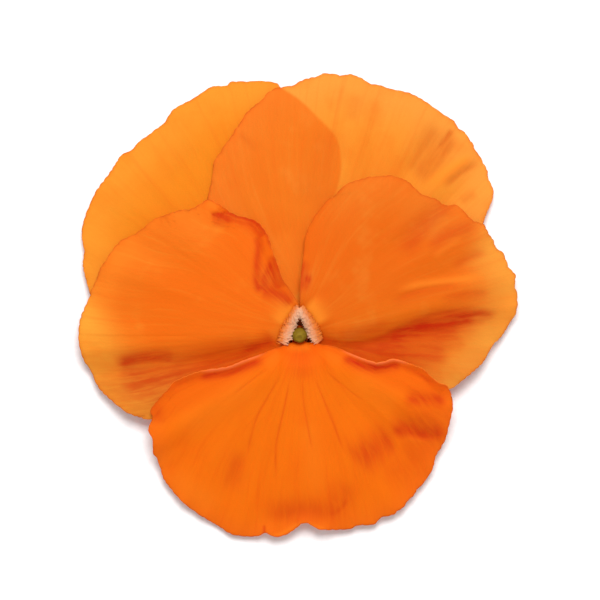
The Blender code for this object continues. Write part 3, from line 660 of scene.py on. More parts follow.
@dataclass(frozen=True)
class HairFinish:
    """Pale, half clear hairs."""

    name: str = "beard_hair"
    speck_scale: float = 5200.0
    speck_strength: float = 0.25
    root: Colour = paint(242, 148, 58)
    tip: Colour = paint(242, 206, 174)
    see_through: float = 0.45
    roughness: float = 0.55
    gloss: float = 0.15
    bump_depth: float = 0.02

    def material(self) -> Material:
        """The finish as a material.

        Returns:
            The material.
        """
        s = Shade(self.name)
        base = s.mix(s.attribute("tip"), self.root, self.tip)
        speck = s.noise(s.place(), self.speck_scale, 2.0, 0.6)
        base = s.mix(s.ramp(speck, 0.4, 0.7, 0.0, self.speck_strength), base, self.root)
        skin = s.skin(base, s.bump(speck, self.bump_depth), self.roughness, self.gloss)
        return s.thin(skin, {"Color": base}, self.see_through)


@dataclass(frozen=True)
class GreenFinish:
    """Green or ripe tissue with a mottled skin and lines along it."""

    name: str
    ground: Colour
    mottle: Colour
    line: Colour
    warm: Colour
    roughness: float = 0.5
    mottle_scale: float = 1400.0
    lines: float = 0.0
    bump_depth: float = 0.05
    gloss: float = 0.14
    mottle_strength: float = 0.8
    line_strength: float = 0.65
    grain_scale: float = 8000.0
    grain_strength: float = 0.15

    def material(self) -> Material:
        """The finish as a material.

        Returns:
            The material.
        """
        s = Shade(self.name)
        cloud = s.noise(s.place(), self.mottle_scale, 4.0, 0.6)
        base = s.mix(s.ramp(cloud, 0.38, 0.66, 0.0, self.mottle_strength), self.ground, self.mottle)
        relief = cloud
        if self.lines:
            strand = s.noise(s.fan(self.lines, 1.2), 1.0, 2.0, 0.55)
            base = s.mix(s.ramp(strand, 0.52, 0.68, 0.0, self.line_strength), base, self.line)
            relief = s.sum("ADD", s.sum("MULTIPLY", strand, 0.7), s.sum("MULTIPLY", cloud, 0.3))
        base = s.mix(s.attribute("pale"), base, self.line)
        base = s.mix(s.attribute("warm"), base, self.warm)
        grain = s.noise(s.place(), self.grain_scale, 2.0, 0.6)
        base = s.mix(s.ramp(grain, 0.35, 0.65, 0.0, self.grain_strength), base, self.mottle)
        return s.surface(s.skin(base, s.bump(relief, self.bump_depth), self.roughness, self.gloss))


@dataclass
class Parts:
    """Points and faces gathered for one mesh, with numbers that each point carries."""

    verts: list[Array] = field(default_factory=list)
    faces: list[tuple[int, ...]] = field(default_factory=list)
    numbers: dict[str, list[Array]] = field(default_factory=dict)
    count: int = 0

    def add(self, verts: Array, faces: list, **numbers: Array) -> None:
        """Add a closed piece.

        Args:
            verts: Its points in millimetres.
            faces: Its faces, counted from its own first point.
            **numbers: A value for each point, by name.
        """
        self.verts.append(verts)
        self.faces.extend(tuple(int(i) + self.count for i in face) for face in faces)
        for name, values in numbers.items():
            self.numbers.setdefault(name, []).append(values)
        self.count += len(verts)

    def make(self, name: str, finish: Material) -> Thing:
        """Turn what was gathered into an object.

        Args:
            name: Name of the object.
            finish: Its material.

        Returns:
            The object, linked to the scene.
        """
        mesh = bpy.data.meshes.new(name)
        points = np.concatenate(self.verts)
        points = (points + np.array((THROAT[0], THROAT[1], 0.0))) * MM
        mesh.from_pydata(points.tolist(), [], self.faces)
        fan = [self.numbers.pop(axis) for axis in ("u", "v")] if "u" in self.numbers else None
        for key, values in self.numbers.items():
            mesh.attributes.new(key, "FLOAT", "POINT").data.foreach_set("value", np.concatenate(values))
        if fan is not None:
            corner = np.zeros(len(mesh.loops), dtype=np.int32)
            mesh.loops.foreach_get("vertex_index", corner)
            uv = np.column_stack([np.concatenate(axis) for axis in fan])[corner]
            mesh.uv_layers.new(name="fan").data.foreach_set("uv", uv.ravel())
        mesh.shade_smooth()
        mesh.materials.append(finish)
        obj = bpy.data.objects.new(name, mesh)
        bpy.context.scene.collection.objects.link(obj)
        return obj


def shell(sheet: Array, thickness: Array) -> tuple[Array, list]:
    """A closed thin piece round a grid of points.

    Args:
        sheet: Points of the middle surface, as rows by columns by three.
        thickness: Thickness at each of them.

    Returns:
        The points of the upper face and then of the lower face, and the faces.
    """
    rows, columns = thickness.shape
    along = np.gradient(sheet, axis=0)
    across = np.gradient(sheet, axis=1)
    normal = np.cross(along, across)
    normal /= np.maximum(np.linalg.norm(normal, axis=2, keepdims=True), 1e-9)
    offset = 0.5 * thickness[..., None] * normal
    verts = np.concatenate(((sheet + offset).reshape(-1, 3), (sheet - offset).reshape(-1, 3)))
    index = np.arange(rows * columns).reshape(rows, columns)
    quads = np.stack((index[:-1, :-1], index[1:, :-1], index[1:, 1:], index[:-1, 1:]), axis=-1).reshape(-1, 4)
    far = rows * columns
    loop = np.concatenate((index[0, :-1], index[:-1, -1], index[-1, :0:-1], index[:0:-1, 0]))
    ahead = np.roll(loop, -1)
    rim = np.column_stack((loop, ahead, ahead + far, loop + far))
    return verts, np.concatenate((quads, quads[:, ::-1] + far, rim)).tolist()


def tube(
    path: Array, radii: Array, sides: int, ridges: int = 0, ridge: float = 0.0
) -> tuple[Array, list]:
    """A closed tube along a path.

    Args:
        path: Points of its middle line.
        radii: Its radius at each of them.
        sides: Number of its sides.
        ridges: Number of ridges along it.
        ridge: Their height, as a share of the radius.

    Returns:
        The points ring by ring with the two end points last, and the faces.
    """
    forward = np.gradient(path, axis=0)
    forward /= np.linalg.norm(forward, axis=1, keepdims=True)
    guide = np.array((0.0, 0.0, 1.0)) if abs(forward[0][2]) < 0.9 else np.array((1.0, 0.0, 0.0))
    turns = even_turns(sides)
    swell = 1.0 + ridge * np.cos(ridges * turns)
    rings = []
    for point, way, radius in zip(path, forward, radii):
        aside = np.cross(way, guide)
        aside /= np.linalg.norm(aside)
        guide = np.cross(aside, way)
        ring_plan = np.outer(np.cos(turns) * swell, aside) + np.outer(np.sin(turns) * swell, guide)
        rings.append(point + radius * ring_plan)
    verts = np.concatenate((*rings, path[:1], path[-1:]))
    index = np.arange(len(path) * sides).reshape(-1, sides)
    ahead = np.roll(index, -1, axis=1)
    start = np.column_stack((np.full(sides, index.size), ahead[0], index[0]))
    end = np.column_stack((np.full(sides, index.size + 1), index[-1], ahead[-1]))
    return verts, [*bands(index).tolist(), *start.tolist(), *end.tolist()]


@dataclass(frozen=True)
class Curl:
    """An upturned stretch of a margin, from one place to another."""

    start: tuple[float, float]
    end: tuple[float, float]
    rise: float
    width: float


@dataclass(frozen=True)
class Mark:
    """A soft furrow (depth above 0) or ridge (below 0) along a bent line, with reddening that is partly painted
    shade, a yellower tone that is partly painted light, and a painted highlight.

    Its half widths on the left and on the right of the line, as it runs, stand after the path, and
    then come the reddening and the depth.
    """

    path: Points
    left: float
    right: float
    flush: float = 0.0
    depth: float = 0.0
    yellow_and_painted_light: float = 0.0
    painted_highlight: float = 0.0
    ends: float = 0.25

    def strength(self, x: Array, y: Array) -> Array:
        """How strongly the mark shows at each point.

        Args:
            x: First coordinate of each point.
            y: Second coordinate of each point.

        Returns:
            A value from 0 to 1 for each point.
        """
        distance, share, side = from_path(x, y, even_curve(self.path, 16))
        ends = smooth_step(share / self.ends) * smooth_step((1.0 - share) / self.ends)
        return ends * np.exp(-(distance / np.where(side > 0.0, self.left, self.right)) ** 2)


@dataclass(frozen=True)
class Foot:
    """The arc on which a claw stands."""

    start: float
    end: float
    radius: float = 2.45
    level: float = 3.52
    axis: tuple[float, float] = (0.0, 0.0)

    def points(self, count: int) -> Array:
        """Points along the arc.

        Args:
            count: Number of points.

        Returns:
            The points as an array.
        """
        bearing = np.radians(np.linspace(self.start, self.end, count))
        x = self.axis[0] + self.radius * np.cos(bearing)
        y = self.axis[1] + self.radius * np.sin(bearing)
        return np.column_stack((x, y, np.full_like(x, self.level)))


class Layer(Enum):
    """The five petals, from the lowest layer to the highest."""

    UPPER_LEFT = "petal_upper_left"
    UPPER_RIGHT = "petal_upper_right"
    LEFT = "petal_left"
    RIGHT = "petal_right"
    LIP = "petal_lip"


@dataclass
class Petal:
    """One petal: a claw on the receptacle and a broad waved blade with a toothed margin.

    The margin runs from the mouth's first point round to its last one. Between the two corners it
    is the outer edge, and before and after them a side edge.
    """

    layer: Layer
    slot: str
    height: Field
    finish: PetalFinish
    foot: Foot
    mouth: Points
    margin: Points
    corners: Points
    curls: tuple[Curl, ...] = ()
    marks: tuple[Mark, ...] = ()
    below: tuple["Petal", ...] = ()
    cover_softness: float = 0.5
    edge_zone: float = 5.0
    seed: int = 1
    columns: int = 330
    claw_rows: int = 10
    blade_rows: int = 94
    outline_points: int = 1401
    thickness: float = 0.36
    rim_thickness: float = 0.13
    tooth_height: float = 0.15
    tooth_pitch: float = 1.15
    tooth_drift: float = 0.9
    tooth_sharpness: float = 0.7
    tooth_middle: float = 0.62
    tooth_size: float = 0.65
    tooth_spread: float = 0.55
    # Lengths of the margin over which the teeth drift and grow, and near a corner fade
    tooth_lengths: tuple[float, float, float] = (3.1, 2.3, 1.2)
    # Distances at which something starts, and over which it grows
    first_teeth: tuple[float, float] = (3.0, 8.0)
    first_waves: tuple[float, float] = (5.0, 16.0)
    first_droop: tuple[float, float] = (7.0, 4.0)
    first_edge: tuple[float, float] = (12.0, 9.0)
    frill: float = 0.14
    swell: float = 0.1
    droop: float = 0.26
    droop_reach: float = 0.9
    rim_zone: float = 0.7
    rim_line: float = 0.16
    blush: float = 0.85
    blush_reach: float = 8.0
    # Painted shade and reddening on the claw, which sits deep in the throat
    claw_overlap_shade: float = 0.75
    claw_flush_and_shade: float = 0.15
    claw_bend: float = 1.5
    row_crowding: float = 1.25
    flush_and_shade_overlap: float = 0.2
    # Bearings in degrees and radii in millimetres that one wave spans
    broad_wave: tuple[float, float] = (4.6, 9.0)
    fine_wave: tuple[float, float] = (1.5, 6.0)
    # Length along the margin, depth behind it and fading depth of the frill, in millimetres
    frill_wave: tuple[float, float, float] = (1.9, 4.0, 1.4)

    def outline(self) -> Array:
        """The whole margin without its teeth, from one end of the mouth to the other."""
        return even_curve((self.mouth[0],) + self.margin + (self.mouth[-1],), self.outline_points)

    def toothed(self) -> Array:
        """The whole margin with its small teeth.

        Returns:
            Its points in order.
        """
        smooth = self.outline()
        steps = np.hypot(*np.diff(smooth, axis=0).T)
        run = np.concatenate(([0.0], np.cumsum(steps)))
        flow = np.gradient(smooth, axis=0)
        outward = np.column_stack((flow[:, 1], -flow[:, 0])) / np.hypot(*flow.T)[:, None]
        drift, growth, fade = self.tooth_lengths
        start, over = self.first_teeth
        phase = run / self.tooth_pitch + self.tooth_drift * ripple(run / drift, 0.0 * run, self.seed)
        scallop = np.abs(np.sin(math.pi * phase)) ** self.tooth_sharpness - self.tooth_middle
        size = self.tooth_size + self.tooth_spread * ripple(run / growth, 0.0 * run + 9.5, self.seed + 1)
        size = size * smooth_step((np.minimum(run, run[-1] - run) - start) / over)
        # Teeth would fold the blade's grid at its corners
        for corner in self.corners:
            size = size * smooth_step(np.abs(run - run[nearest(smooth, corner)]) / fade)
        return smooth + outward * (self.tooth_height * scallop * size)[:, None]

    def blade_plan(self) -> tuple[Array, Array]:
        """The blade as seen from above, a grid that blends its four edges.

        Returns:
            The points of the grid, row by row from the mouth to the outer edge, and the share of
            the way of each row.
        """
        smooth = self.outline()
        edge = self.toothed()
        first, second = (nearest(smooth, corner) for corner in self.corners)
        shares = 1.0 - (1.0 - np.linspace(0.0, 1.0, self.blade_rows)) ** self.row_crowding
        across = np.linspace(0.0, 1.0, self.columns + 1)
        near = even_curve(self.mouth, self.columns + 1)
        far = along(edge[first:second + 1], across)
        start = along(edge[:first + 1], shares)[:, None]
        end = along(edge[:second - 1:-1], shares)[:, None]
        down = shares[:, None, None]
        over = across[None, :, None]
        plan = (1.0 - down) * near + down * far
        plan = plan + (1.0 - over) * (start - (1.0 - down) * near[0] - down * far[0])
        plan = plan + over * (end - (1.0 - down) * near[-1] - down * far[-1])
        return plan, shares

    def curl_rise(self, gaps: Array, place: Array) -> Array:
        """Rise of the upturned margins.

        Args:
            gaps: Distance of each point of the blade from its margin.
            place: Share of the margin at the spot nearest to each point.

        Returns:
            The rise at each point of the blade.
        """
        rise = np.zeros_like(gaps)
        margin = self.outline()
        for curl in self.curls:
            start, end = (nearest(margin, spot) / (len(margin) - 1) for spot in (curl.start, curl.end))
            ease = 0.25 * (end - start)
            window = smooth_step((place - start) / ease) * smooth_step((end - place) / ease)
            rise = rise + curl.rise * window * np.clip(1.0 - gaps / curl.width, 0.0, 1.0) ** 2
        return rise

    def cover(self, x: Array, y: Array) -> Array:
        """How far other petals lie below.

        Args:
            x: First coordinate of each point.
            y: Second coordinate of each point.

        Returns:
            0 where none does, 0.75 over one petal and up to 1 over two.
        """
        count = np.zeros_like(x)
        for other in self.below:
            edge = even_curve(other.margin, 130)
            distance, _, _ = from_path(x, y, edge)
            side = np.where(inside(x, y, edge), distance, -distance)
            count = count + smooth_step(side / self.cover_softness + 0.5)
        return np.clip(0.75 * count, 0.0, 0.75) + 0.25 * np.clip(count - 1.0, 0.0, 1.0)

    def claw(self) -> Array:
        """The claw, from its foot up to just before the mouth.

        Returns:
            Its points, row by row.
        """
        low = self.foot.points(self.columns + 1)
        top_plan = even_curve(self.mouth, self.columns + 1)
        top = np.column_stack((top_plan, self.height(top_plan[:, 0], top_plan[:, 1])))
        rows = []
        for share in np.linspace(0.0, 1.0, self.claw_rows, endpoint=False):
            plan = low[:, :2] + share ** self.claw_bend * (top[:, :2] - low[:, :2])
            rows.append(np.column_stack((plan, low[:, 2] + share * (top[:, 2] - low[:, 2]))))
        return np.stack(rows)

    def build(self) -> Thing:
        """Make the petal as one closed piece that stands for its solid.

        Returns:
            The petal.
        """
        plan, shares = self.blade_plan()
        x = plan[..., 0]
        y = plan[..., 1]
        gaps, place, _ = from_path(x, y, self.toothed()[::2])
        cover = self.cover(x, y)
        curl = self.curl_rise(gaps, place)
        away = np.hypot(x, y)
        start, over = self.first_droop
        loose = np.clip(1.0 - 3.0 * curl, 0.0, 1.0) * np.clip((away - start) / over, 0.0, 1.0)
        z = self.height(x, y) + self.waves(x, y, gaps, place) + curl
        z = z - self.droop * cover * loose * np.exp(-gaps / self.droop_reach)
        # Marks sink or raise the blade and paint reddening that is partly shade, a yellower tone that is partly
        # light, and highlights
        flush = np.zeros_like(x)
        yellow_and_painted_light = np.zeros_like(x)
        painted_highlight = np.zeros_like(x)
        for mark in self.marks:
            strength = mark.strength(x, y)
            z = z - mark.depth * strength
            own = mark.flush * strength
            flush = np.maximum(flush, own) + self.flush_and_shade_overlap * np.minimum(flush, own)
            yellow_and_painted_light = np.maximum(yellow_and_painted_light, mark.yellow_and_painted_light * strength)
            painted_highlight = np.maximum(painted_highlight, mark.painted_highlight * strength)

        sheet = np.concatenate((self.claw(), np.dstack((plan, z))))
        lead = np.zeros((self.claw_rows, self.columns + 1))
        side = np.minimum(np.arange(self.columns + 1), np.arange(self.columns, -1, -1)) / self.columns
        width = np.linalg.norm(np.diff(sheet[:self.claw_rows], axis=1), axis=2).sum(axis=1)
        gap = np.concatenate((side[None] * width[:, None], gaps))
        thickness = self.thickness + (self.rim_thickness - self.thickness) * np.exp(-gap / self.rim_zone)
        verts, faces = shell(sheet, thickness)

        radius = np.hypot(sheet[..., 0], sheet[..., 1])
        start, over = self.first_edge
        zone = np.exp(-(gaps / self.edge_zone) ** 2) * smooth_step((away - start) / over)
        values = {
            # Painted shade where other petals lie below, full on the claw
            "under": np.concatenate((lead + self.claw_overlap_shade, cover)),
            "edge": np.concatenate((lead, zone)),
            "blush": self.blush * smooth_step((self.blush_reach - radius) / self.blush_reach),
            "flush": np.clip(np.concatenate((lead + self.claw_flush_and_shade, flush)), 0.0, 1.0),
            "yellow_and_painted_light": np.concatenate((lead, yellow_and_painted_light)),
            "rim": np.exp(-gap / self.rim_line),
            "painted_highlight": np.concatenate((lead, painted_highlight)),
            "u": np.broadcast_to(np.linspace(0.0, 1.0, self.columns + 1), sheet.shape[:2]),
            "v": np.concatenate((lead, np.broadcast_to(shares[:, None], x.shape))),
        }
        both = {key: np.tile(value.ravel(), 2) for key, value in values.items()}
        both["behind"] = np.repeat((0.0, 1.0), sheet.shape[0] * sheet.shape[1])
        parts = Parts()
        parts.add(verts, faces, **both)
        node = self.layer.value
        return settle(parts.make(node + "_blade", self.finish.material()), node)

    def waves(self, x: Array, y: Array, gaps: Array, place: Array) -> Array:
        """Small waves of the blade, stronger towards the margin.

        Args:
            x: First coordinate of each point.
            y: Second coordinate of each point.
            gaps: Distance of each point from the margin.
            place: Share of the margin at the spot nearest to each point.

        Returns:
            The height that they add.
        """
        radius = np.hypot(x, y)
        bearing = np.degrees(np.arctan2(y, x)) + 180.0
        start, over = self.first_waves
        growth = smooth_step((radius - start) / over)
        broad = ripple(bearing / self.broad_wave[0], radius / self.broad_wave[1], self.seed + 2)
        fine = ripple(bearing / self.fine_wave[0], radius / self.fine_wave[1], self.seed + 3)
        length = np.hypot(*np.diff(self.outline(), axis=0).T).sum()
        pitch, depth, fade = self.frill_wave
        frill = ripple(place * length / pitch, gaps / depth, self.seed + 4) * np.exp(-gaps / fade) * growth
        return self.swell * growth * (broad + 0.25 * fine) + self.frill * frill


@dataclass
class Spur:
    """The lip's hollow tail behind the flower, with a blunt tip on the surface."""

    finish: PetalFinish
    axis: tuple[float, float] = (0.0, -2.35)
    radius: float = 1.3
    bore: float = 0.65
    top: float = 3.1
    floor: float = 0.75
    flat: float = 0.8
    ribs: float = 9.0
    rib_depth: float = 0.02
    # Share of the painted overlap shade on the spur
    cover: float = 0.3
    back_share: float = 0.6
    sides: int = 72
    rings: int = 26

    def build(self) -> Thing:
        """Make the spur as a closed turned piece with soft lengthwise ribs.

        Returns:
            The spur.
        """
        outline = (
            (0.02, self.floor), (0.8 * self.bore, self.floor + 0.05), (self.bore, self.floor + 0.3),
            (self.bore, self.top - 0.2), (self.bore + 0.2, self.top + 0.02), (self.radius - 0.12, self.top),
            (self.radius, self.top - 0.3), (self.radius, 1.3), (self.radius - 0.07, 0.6),
            (self.radius - 0.28, 0.14), (self.flat, 0.0), (0.02, 0.0),
        )
        profile = even_curve(outline, 3 * self.rings)
        turns = even_turns(self.sides)
        wall = np.clip((profile[:, 0] - self.bore - 0.2) / 0.3, 0.0, 1.0) * (profile[:, 1] > 0.3)
        rib = 1.0 + self.rib_depth * wall[:, None] * (np.cos(self.ribs * turns) - 1.0)[None]
        x = self.axis[0] + profile[:, :1] * rib * np.cos(turns)
        y = self.axis[1] + profile[:, :1] * rib * np.sin(turns)
        z = np.broadcast_to(np.maximum(profile[:, 1:], 0.0), x.shape)
        verts = np.dstack((x, y, z)).reshape(-1, 3)
        count = len(profile)
        parts = Parts()
        values = {key: np.zeros(len(verts)) for key in ("edge", "blush", "flush", "yellow_and_painted_light", "painted_highlight", "rim")}
        values["under"] = np.full(len(verts), self.cover)
        values["behind"] = np.full(len(verts), self.back_share)
        values["u"] = np.tile(np.linspace(0.0, 1.0, self.sides), count)
        values["v"] = np.repeat(np.linspace(0.0, 1.0, count), self.sides)
        parts.add(verts, turned_faces(count, self.sides), **values)
        return settle(parts.make("lip_spur", self.finish.material()))


@dataclass
class Beard:
    """A dense strip of short club-shaped hairs on the mouth of a side petal."""

    node: str
    layer: Field
    line: Points
    relief: Relief
    finish: HairFinish
    seed: int
    half_width: float = 0.48
    hairs: int = 1000
    length: float = 1.0
    root_radius: float = 0.046
    lean: float = 1.2
    bed_pitch: float = 0.36
    bed_share: float = 0.65
    bed_edge: float = 0.08
    bed_rise: float = 0.18
    bed_tone: float = 0.6
    mound: float = 0.16
    slit_turn: float = 0.6
    lean_spread: float = 0.16
    turn_spread: float = 0.5
    lengths: tuple[float, float] = (0.72, 1.18)
    widths: tuple[float, float] = (0.85, 1.15)
    sides: int = 6
    # Places along a hair from its sunk root, and its radius there as a share of the root's
    steps: tuple[float, ...] = (-0.08, 0.15, 0.5, 0.8, 0.93, 1.0)
    club: tuple[float, ...] = (1.1, 0.95, 0.9, 1.2, 1.05, 0.4)

    def half_width_at(self, share: Array) -> Array:
        """Half the width of the strip, narrowing at both ends."""
        return self.half_width * np.sqrt(1.0 - 0.85 * np.abs(2.0 * share - 1.0) ** 4)

    def bed(self, parts: Parts) -> None:
        """Add the low cushion in which the hairs stand.

        Args:
            parts: The mesh that it goes into.
        """
        steps = np.linspace(-1.0, 1.0, 9)
        rows = []
        for share in np.linspace(0.0, 1.0, 25):
            spots = np.clip(2.0 * share + np.array((-0.05, 0.0, 0.05)), 0.0, 2.0)
            behind, middle, ahead = spline_at(self.line, spots)
            flow = (ahead - behind) / np.hypot(*(ahead - behind))
            plan = middle + np.outer(self.bed_share * steps * self.half_width_at(share), (-flow[1], flow[0]))
            z = self.relief.above(self.layer, plan[:, 0], plan[:, 1], self.bed_pitch)
            rows.append(np.column_stack((plan, z)))
        sheet = np.stack(rows)[:, ::-1]
        thickness = np.broadcast_to(self.bed_edge + self.bed_rise * (1.0 - steps ** 2), sheet.shape[:2])
        verts, faces = shell(sheet, thickness)
        parts.add(verts, faces, tip=np.full(len(verts), self.bed_tone))

    def build(self) -> Thing:
        """Make the bed and its hairs as one piece.

        Returns:
            The beard.
        """
        parts = Parts()
        self.bed(parts)
        draw = random.Random(self.seed)
        steps = np.array(self.steps)
        shares = (np.arange(self.hairs) + 0.5) / self.hairs
        asides = np.array([draw.triangular(-1.0, 1.75, 0.1) for _ in shares])
        spread = np.array([draw.uniform(-0.07, 0.07) for _ in shares])
        middles = spline_at(self.line, np.clip(2.0 * (shares + spread * shares), 0.0, 2.1))
        outwards = middles / np.hypot(*middles.T)[:, None]
        spots = middles + outwards * (asides * self.half_width_at(shares))[:, None]
        levels = self.relief.above(self.layer, spots[:, 0], spots[:, 1], self.bed_pitch)
        levels = levels + self.mound * np.clip(1.0 - asides ** 2, 0.0, None)
        for share, aside, outward, spot, level in zip(shares, asides, outwards, spots, levels):
            lean = self.lean - 0.1 * aside + draw.uniform(-self.lean_spread, self.lean_spread)
            turn = draw.uniform(-self.turn_spread, self.turn_spread) * (1.0 + share ** 6)
            heading = math.atan2(-outward[1], -outward[0]) + turn
            # Hairs near the upper end lie across the slit between the two petals
            heading -= math.copysign(self.slit_turn * max(0.0, 1.0 - 3.0 * share), outward[0])
            length = self.length * draw.uniform(*self.lengths) * (1.0 - 0.25 * max(0.0, aside))
            length *= 0.84 + 0.16 * abs(2.0 * share - 1.0) + 0.3 * max(0.0, 3.0 * share - 2.0)
            way = np.array((math.cos(heading), math.sin(heading)))
            bend = lean * (0.6 + 0.5 * np.clip(steps, 0.0, 1.0))
            flat = spot + np.outer(steps * np.sin(bend) * length, way)
            path = np.column_stack((flat, level + steps * np.cos(bend) * length))
            radii = self.root_radius * np.array(self.club) * draw.uniform(*self.widths)
            verts, faces = tube(path, radii, self.sides)
            pale = min(1.0, max(0.0, 0.84 - 0.62 * aside + 0.3 * max(0.0, 1.0 - 2.5 * share)))
            tone = pale * (0.4 + 0.6 * np.clip(steps, 0.0, 1.0))
            parts.add(verts, faces, tip=np.concatenate((np.repeat(tone, self.sides), (0.4 * pale, pale))))
        return settle(parts.make(self.node + "_hairs", self.finish.material()), self.node)


@dataclass
class Pistil:
    """Ovary and style under the round stigma, which has a hollow towards the lip."""

    finish: GreenFinish
    ovary: float = 0.6
    stigma: float = 1.05
    level: float = 7.6
    style: float = 0.28
    foot: float = 3.52
    hollow: float = 0.4
    hollow_offset: float = 0.42
    hollow_level: float = 0.95
    hollow_depth: float = 0.12
    rim_height: float = 0.06
    unevenness: float = 0.025
    sides: int = 64

    def build(self) -> Thing:
        """Make the pistil as one turned piece and press the hollow into its head.

        Returns:
            The pistil.
        """
        head = []
        for degrees in np.linspace(89.0, -62.0, 34):
            angle = math.radians(degrees)
            head.append((self.stigma * math.cos(angle), self.level + self.stigma * math.sin(angle)))
        tail = even_curve((
            head[-1], (self.style + 0.04, self.level - self.stigma - 0.25), (self.style - 0.02, 5.9),
            (self.style, 5.2), (0.9 * self.ovary, 4.7), (self.ovary, 4.2), (0.75 * self.ovary, self.foot),
        ), 40)
        profile = np.concatenate((np.array(head), tail[1:]))
        turns = even_turns(self.sides)
        x = profile[:, :1] * np.cos(turns)
        y = profile[:, :1] * np.sin(turns)
        z = np.repeat(profile[:, 1:], self.sides, axis=1)
        # The round head is a little uneven
        ball = z > self.level - 0.5
        size = 1.0 + self.unevenness * ripple(3.0 * x + 7.0, 3.0 * y + 3.0, 5) * ball
        x = x * size
        y = y * size
        distance = np.hypot(np.hypot(x, y + self.hollow_offset), z - self.level - self.hollow_level)
        press = np.clip(1.0 - (distance / (1.5 * self.hollow)) ** 2, 0.0, 1.0) ** 2
        lift = self.rim_height * np.exp(-((distance - 1.35 * self.hollow) / 0.14) ** 2) * ball
        z = z - self.hollow_depth * press + lift
        verts = np.dstack((x, y, z)).reshape(-1, 3)
        low = smooth_step((self.level + 0.35 - z) / 0.7).ravel()
        parts = Parts()
        parts.add(
            verts, turned_faces(len(profile), self.sides),
            pale=np.clip(6.0 * lift, 0.0, 0.6).ravel(), warm=0.85 * low,
        )
        return settle(parts.make("pistil_head_and_ovary", self.finish.material()), "pistil")


@dataclass
class Stamens:
    """Five anthers joined in a ring round the ovary, each with a thin tip round the style."""

    finish: GreenFinish
    inner: float = 0.92
    outer: float = 1.36
    foot: float = 3.52
    shoulder: float = 4.95
    tip: float = 1.15
    anthers: int = 5
    closing: float = 0.36
    wall_gap: float = 0.06
    sides: int = 160

    def build(self) -> Thing:
        """Make the ring as one closed piece.

        Returns:
            The ring of stamens.
        """
        turns = even_turns(self.sides)
        phase = self.anthers * (turns - 0.5 * math.pi)
        lobe = np.abs(np.cos(0.5 * phase)) ** 0.6
        peak = np.clip(np.cos(phase), 0.0, 1.0) ** 2.5
        top = self.shoulder + self.tip * peak
        shares = np.linspace(0.0, 1.0, 24)
        rings = []
        for share in shares:
            z = self.foot + share * (top - self.foot)
            radius = self.outer * (0.9 + 0.1 * lobe) - 0.1 * share ** 4
            rings.append(ring(turns, radius - self.lean(peak, z), z))
        for share in shares[::-1]:
            z = self.foot + share * (top - self.wall_gap - self.foot)
            radius = self.inner + 0.02 + 0.14 * share ** 3 * (1.0 - 0.4 * peak)
            rings.append(ring(turns, radius - self.lean(peak, z), z))
        index = np.arange(len(rings) * self.sides).reshape(-1, self.sides)
        faces = bands(np.concatenate((index, index[:1]))).tolist()
        parts = Parts()
        parts.add(np.concatenate(rings), faces, pale=np.tile(0.6 * (1.0 - lobe), len(rings)))
        return settle(parts.make("stamens_ring", self.finish.material()), "stamens")

    def lean(self, peak: Array, z: Array) -> Array:
        """How far the tips of the anthers lean in towards the style at each level."""
        return self.closing * peak * smooth_step((z - self.shoulder) / self.tip)


@dataclass
class Sepal:
    """A pointed sepal whose back lobe hangs behind the receptacle."""

    node: str
    bearing: float
    length: float
    lobe_level: float
    finish: GreenFinish
    seed: int
    half_width: float = 2.0
    tooth_height: float = 0.045
    bowl: float = 0.3
    rib: float = 0.22
    edge_thickness: float = 0.16
    body: float = 0.26
    rows: int = 130
    columns: int = 33

    def build(self) -> Thing:
        """Make the sepal as one closed piece with a midrib and fine teeth.

        Returns:
            The sepal.
        """
        run = (
            (3.5, self.lobe_level, 0.62), (3.4, 1.1, 0.78), (3.2, 2.0, 0.66), (3.3, 2.65, 0.64),
            (3.85, 3.0, 0.85), (5.4, 3.15, 1.7), (8.0, 3.0, self.half_width), (11.0, 2.6, 1.25),
            (self.length, 2.05, 0.12),
        )
        bearing = math.radians(self.bearing)
        outward = np.array((math.cos(bearing), math.sin(bearing)))
        sideways = np.array((-math.sin(bearing), math.cos(bearing)))
        steps = np.linspace(-1.0, 1.0, self.columns)
        shares = np.linspace(0.0, 1.0, self.rows)
        rows = []
        for share, (radius, z, half) in zip(shares, spline_at(run, shares * (len(run) - 1))):
            tooth = ripple(np.array((34.0 * share,)), np.array((0.5,)), self.seed)[0]
            half = max(half, 0.1) * (1.0 + self.tooth_height * tooth)
            bowl = float(smooth_step(np.array((radius - 4.5) / 3.0)))
            lift = self.bowl * steps ** 2 * bowl * half / self.half_width
            lift = lift + 0.05 * ripple(5.0 * steps + 20.0, np.full_like(steps, 9.0 * share), self.seed + 1)
            plan = radius * outward + np.outer(steps * half, sideways)
            rows.append(np.column_stack((plan, z + lift)))
        sheet = np.stack(rows)
        edge = np.minimum(1.0 - np.abs(steps)[None], 6.0 * np.minimum(shares, 1.0 - shares)[:, None])
        rib = self.rib * np.exp(-(steps / 0.12) ** 2)[None]
        inner = np.clip(2.0 * edge, 0.0, 1.0)
        thickness = self.edge_thickness + self.body * inner ** 0.7 + rib * inner
        verts, faces = shell(sheet, thickness)
        pale_rib = 0.7 * np.exp(-(steps / 0.1) ** 2)
        pale_edge = 0.6 * np.exp(-(1.0 - np.abs(steps)) / 0.08)
        values = {
            "pale": np.clip(pale_rib + pale_edge, 0.0, 1.0), "u": 0.5 * (steps + 1.0), "v": shares[:, None],
        }
        full = {key: np.broadcast_to(value, thickness.shape) for key, value in values.items()}
        parts = Parts()
        parts.add(verts, faces, **{key: np.tile(value.ravel(), 2) for key, value in full.items()})
        return settle(parts.make(self.node + "_blade", self.finish.material()), self.node)


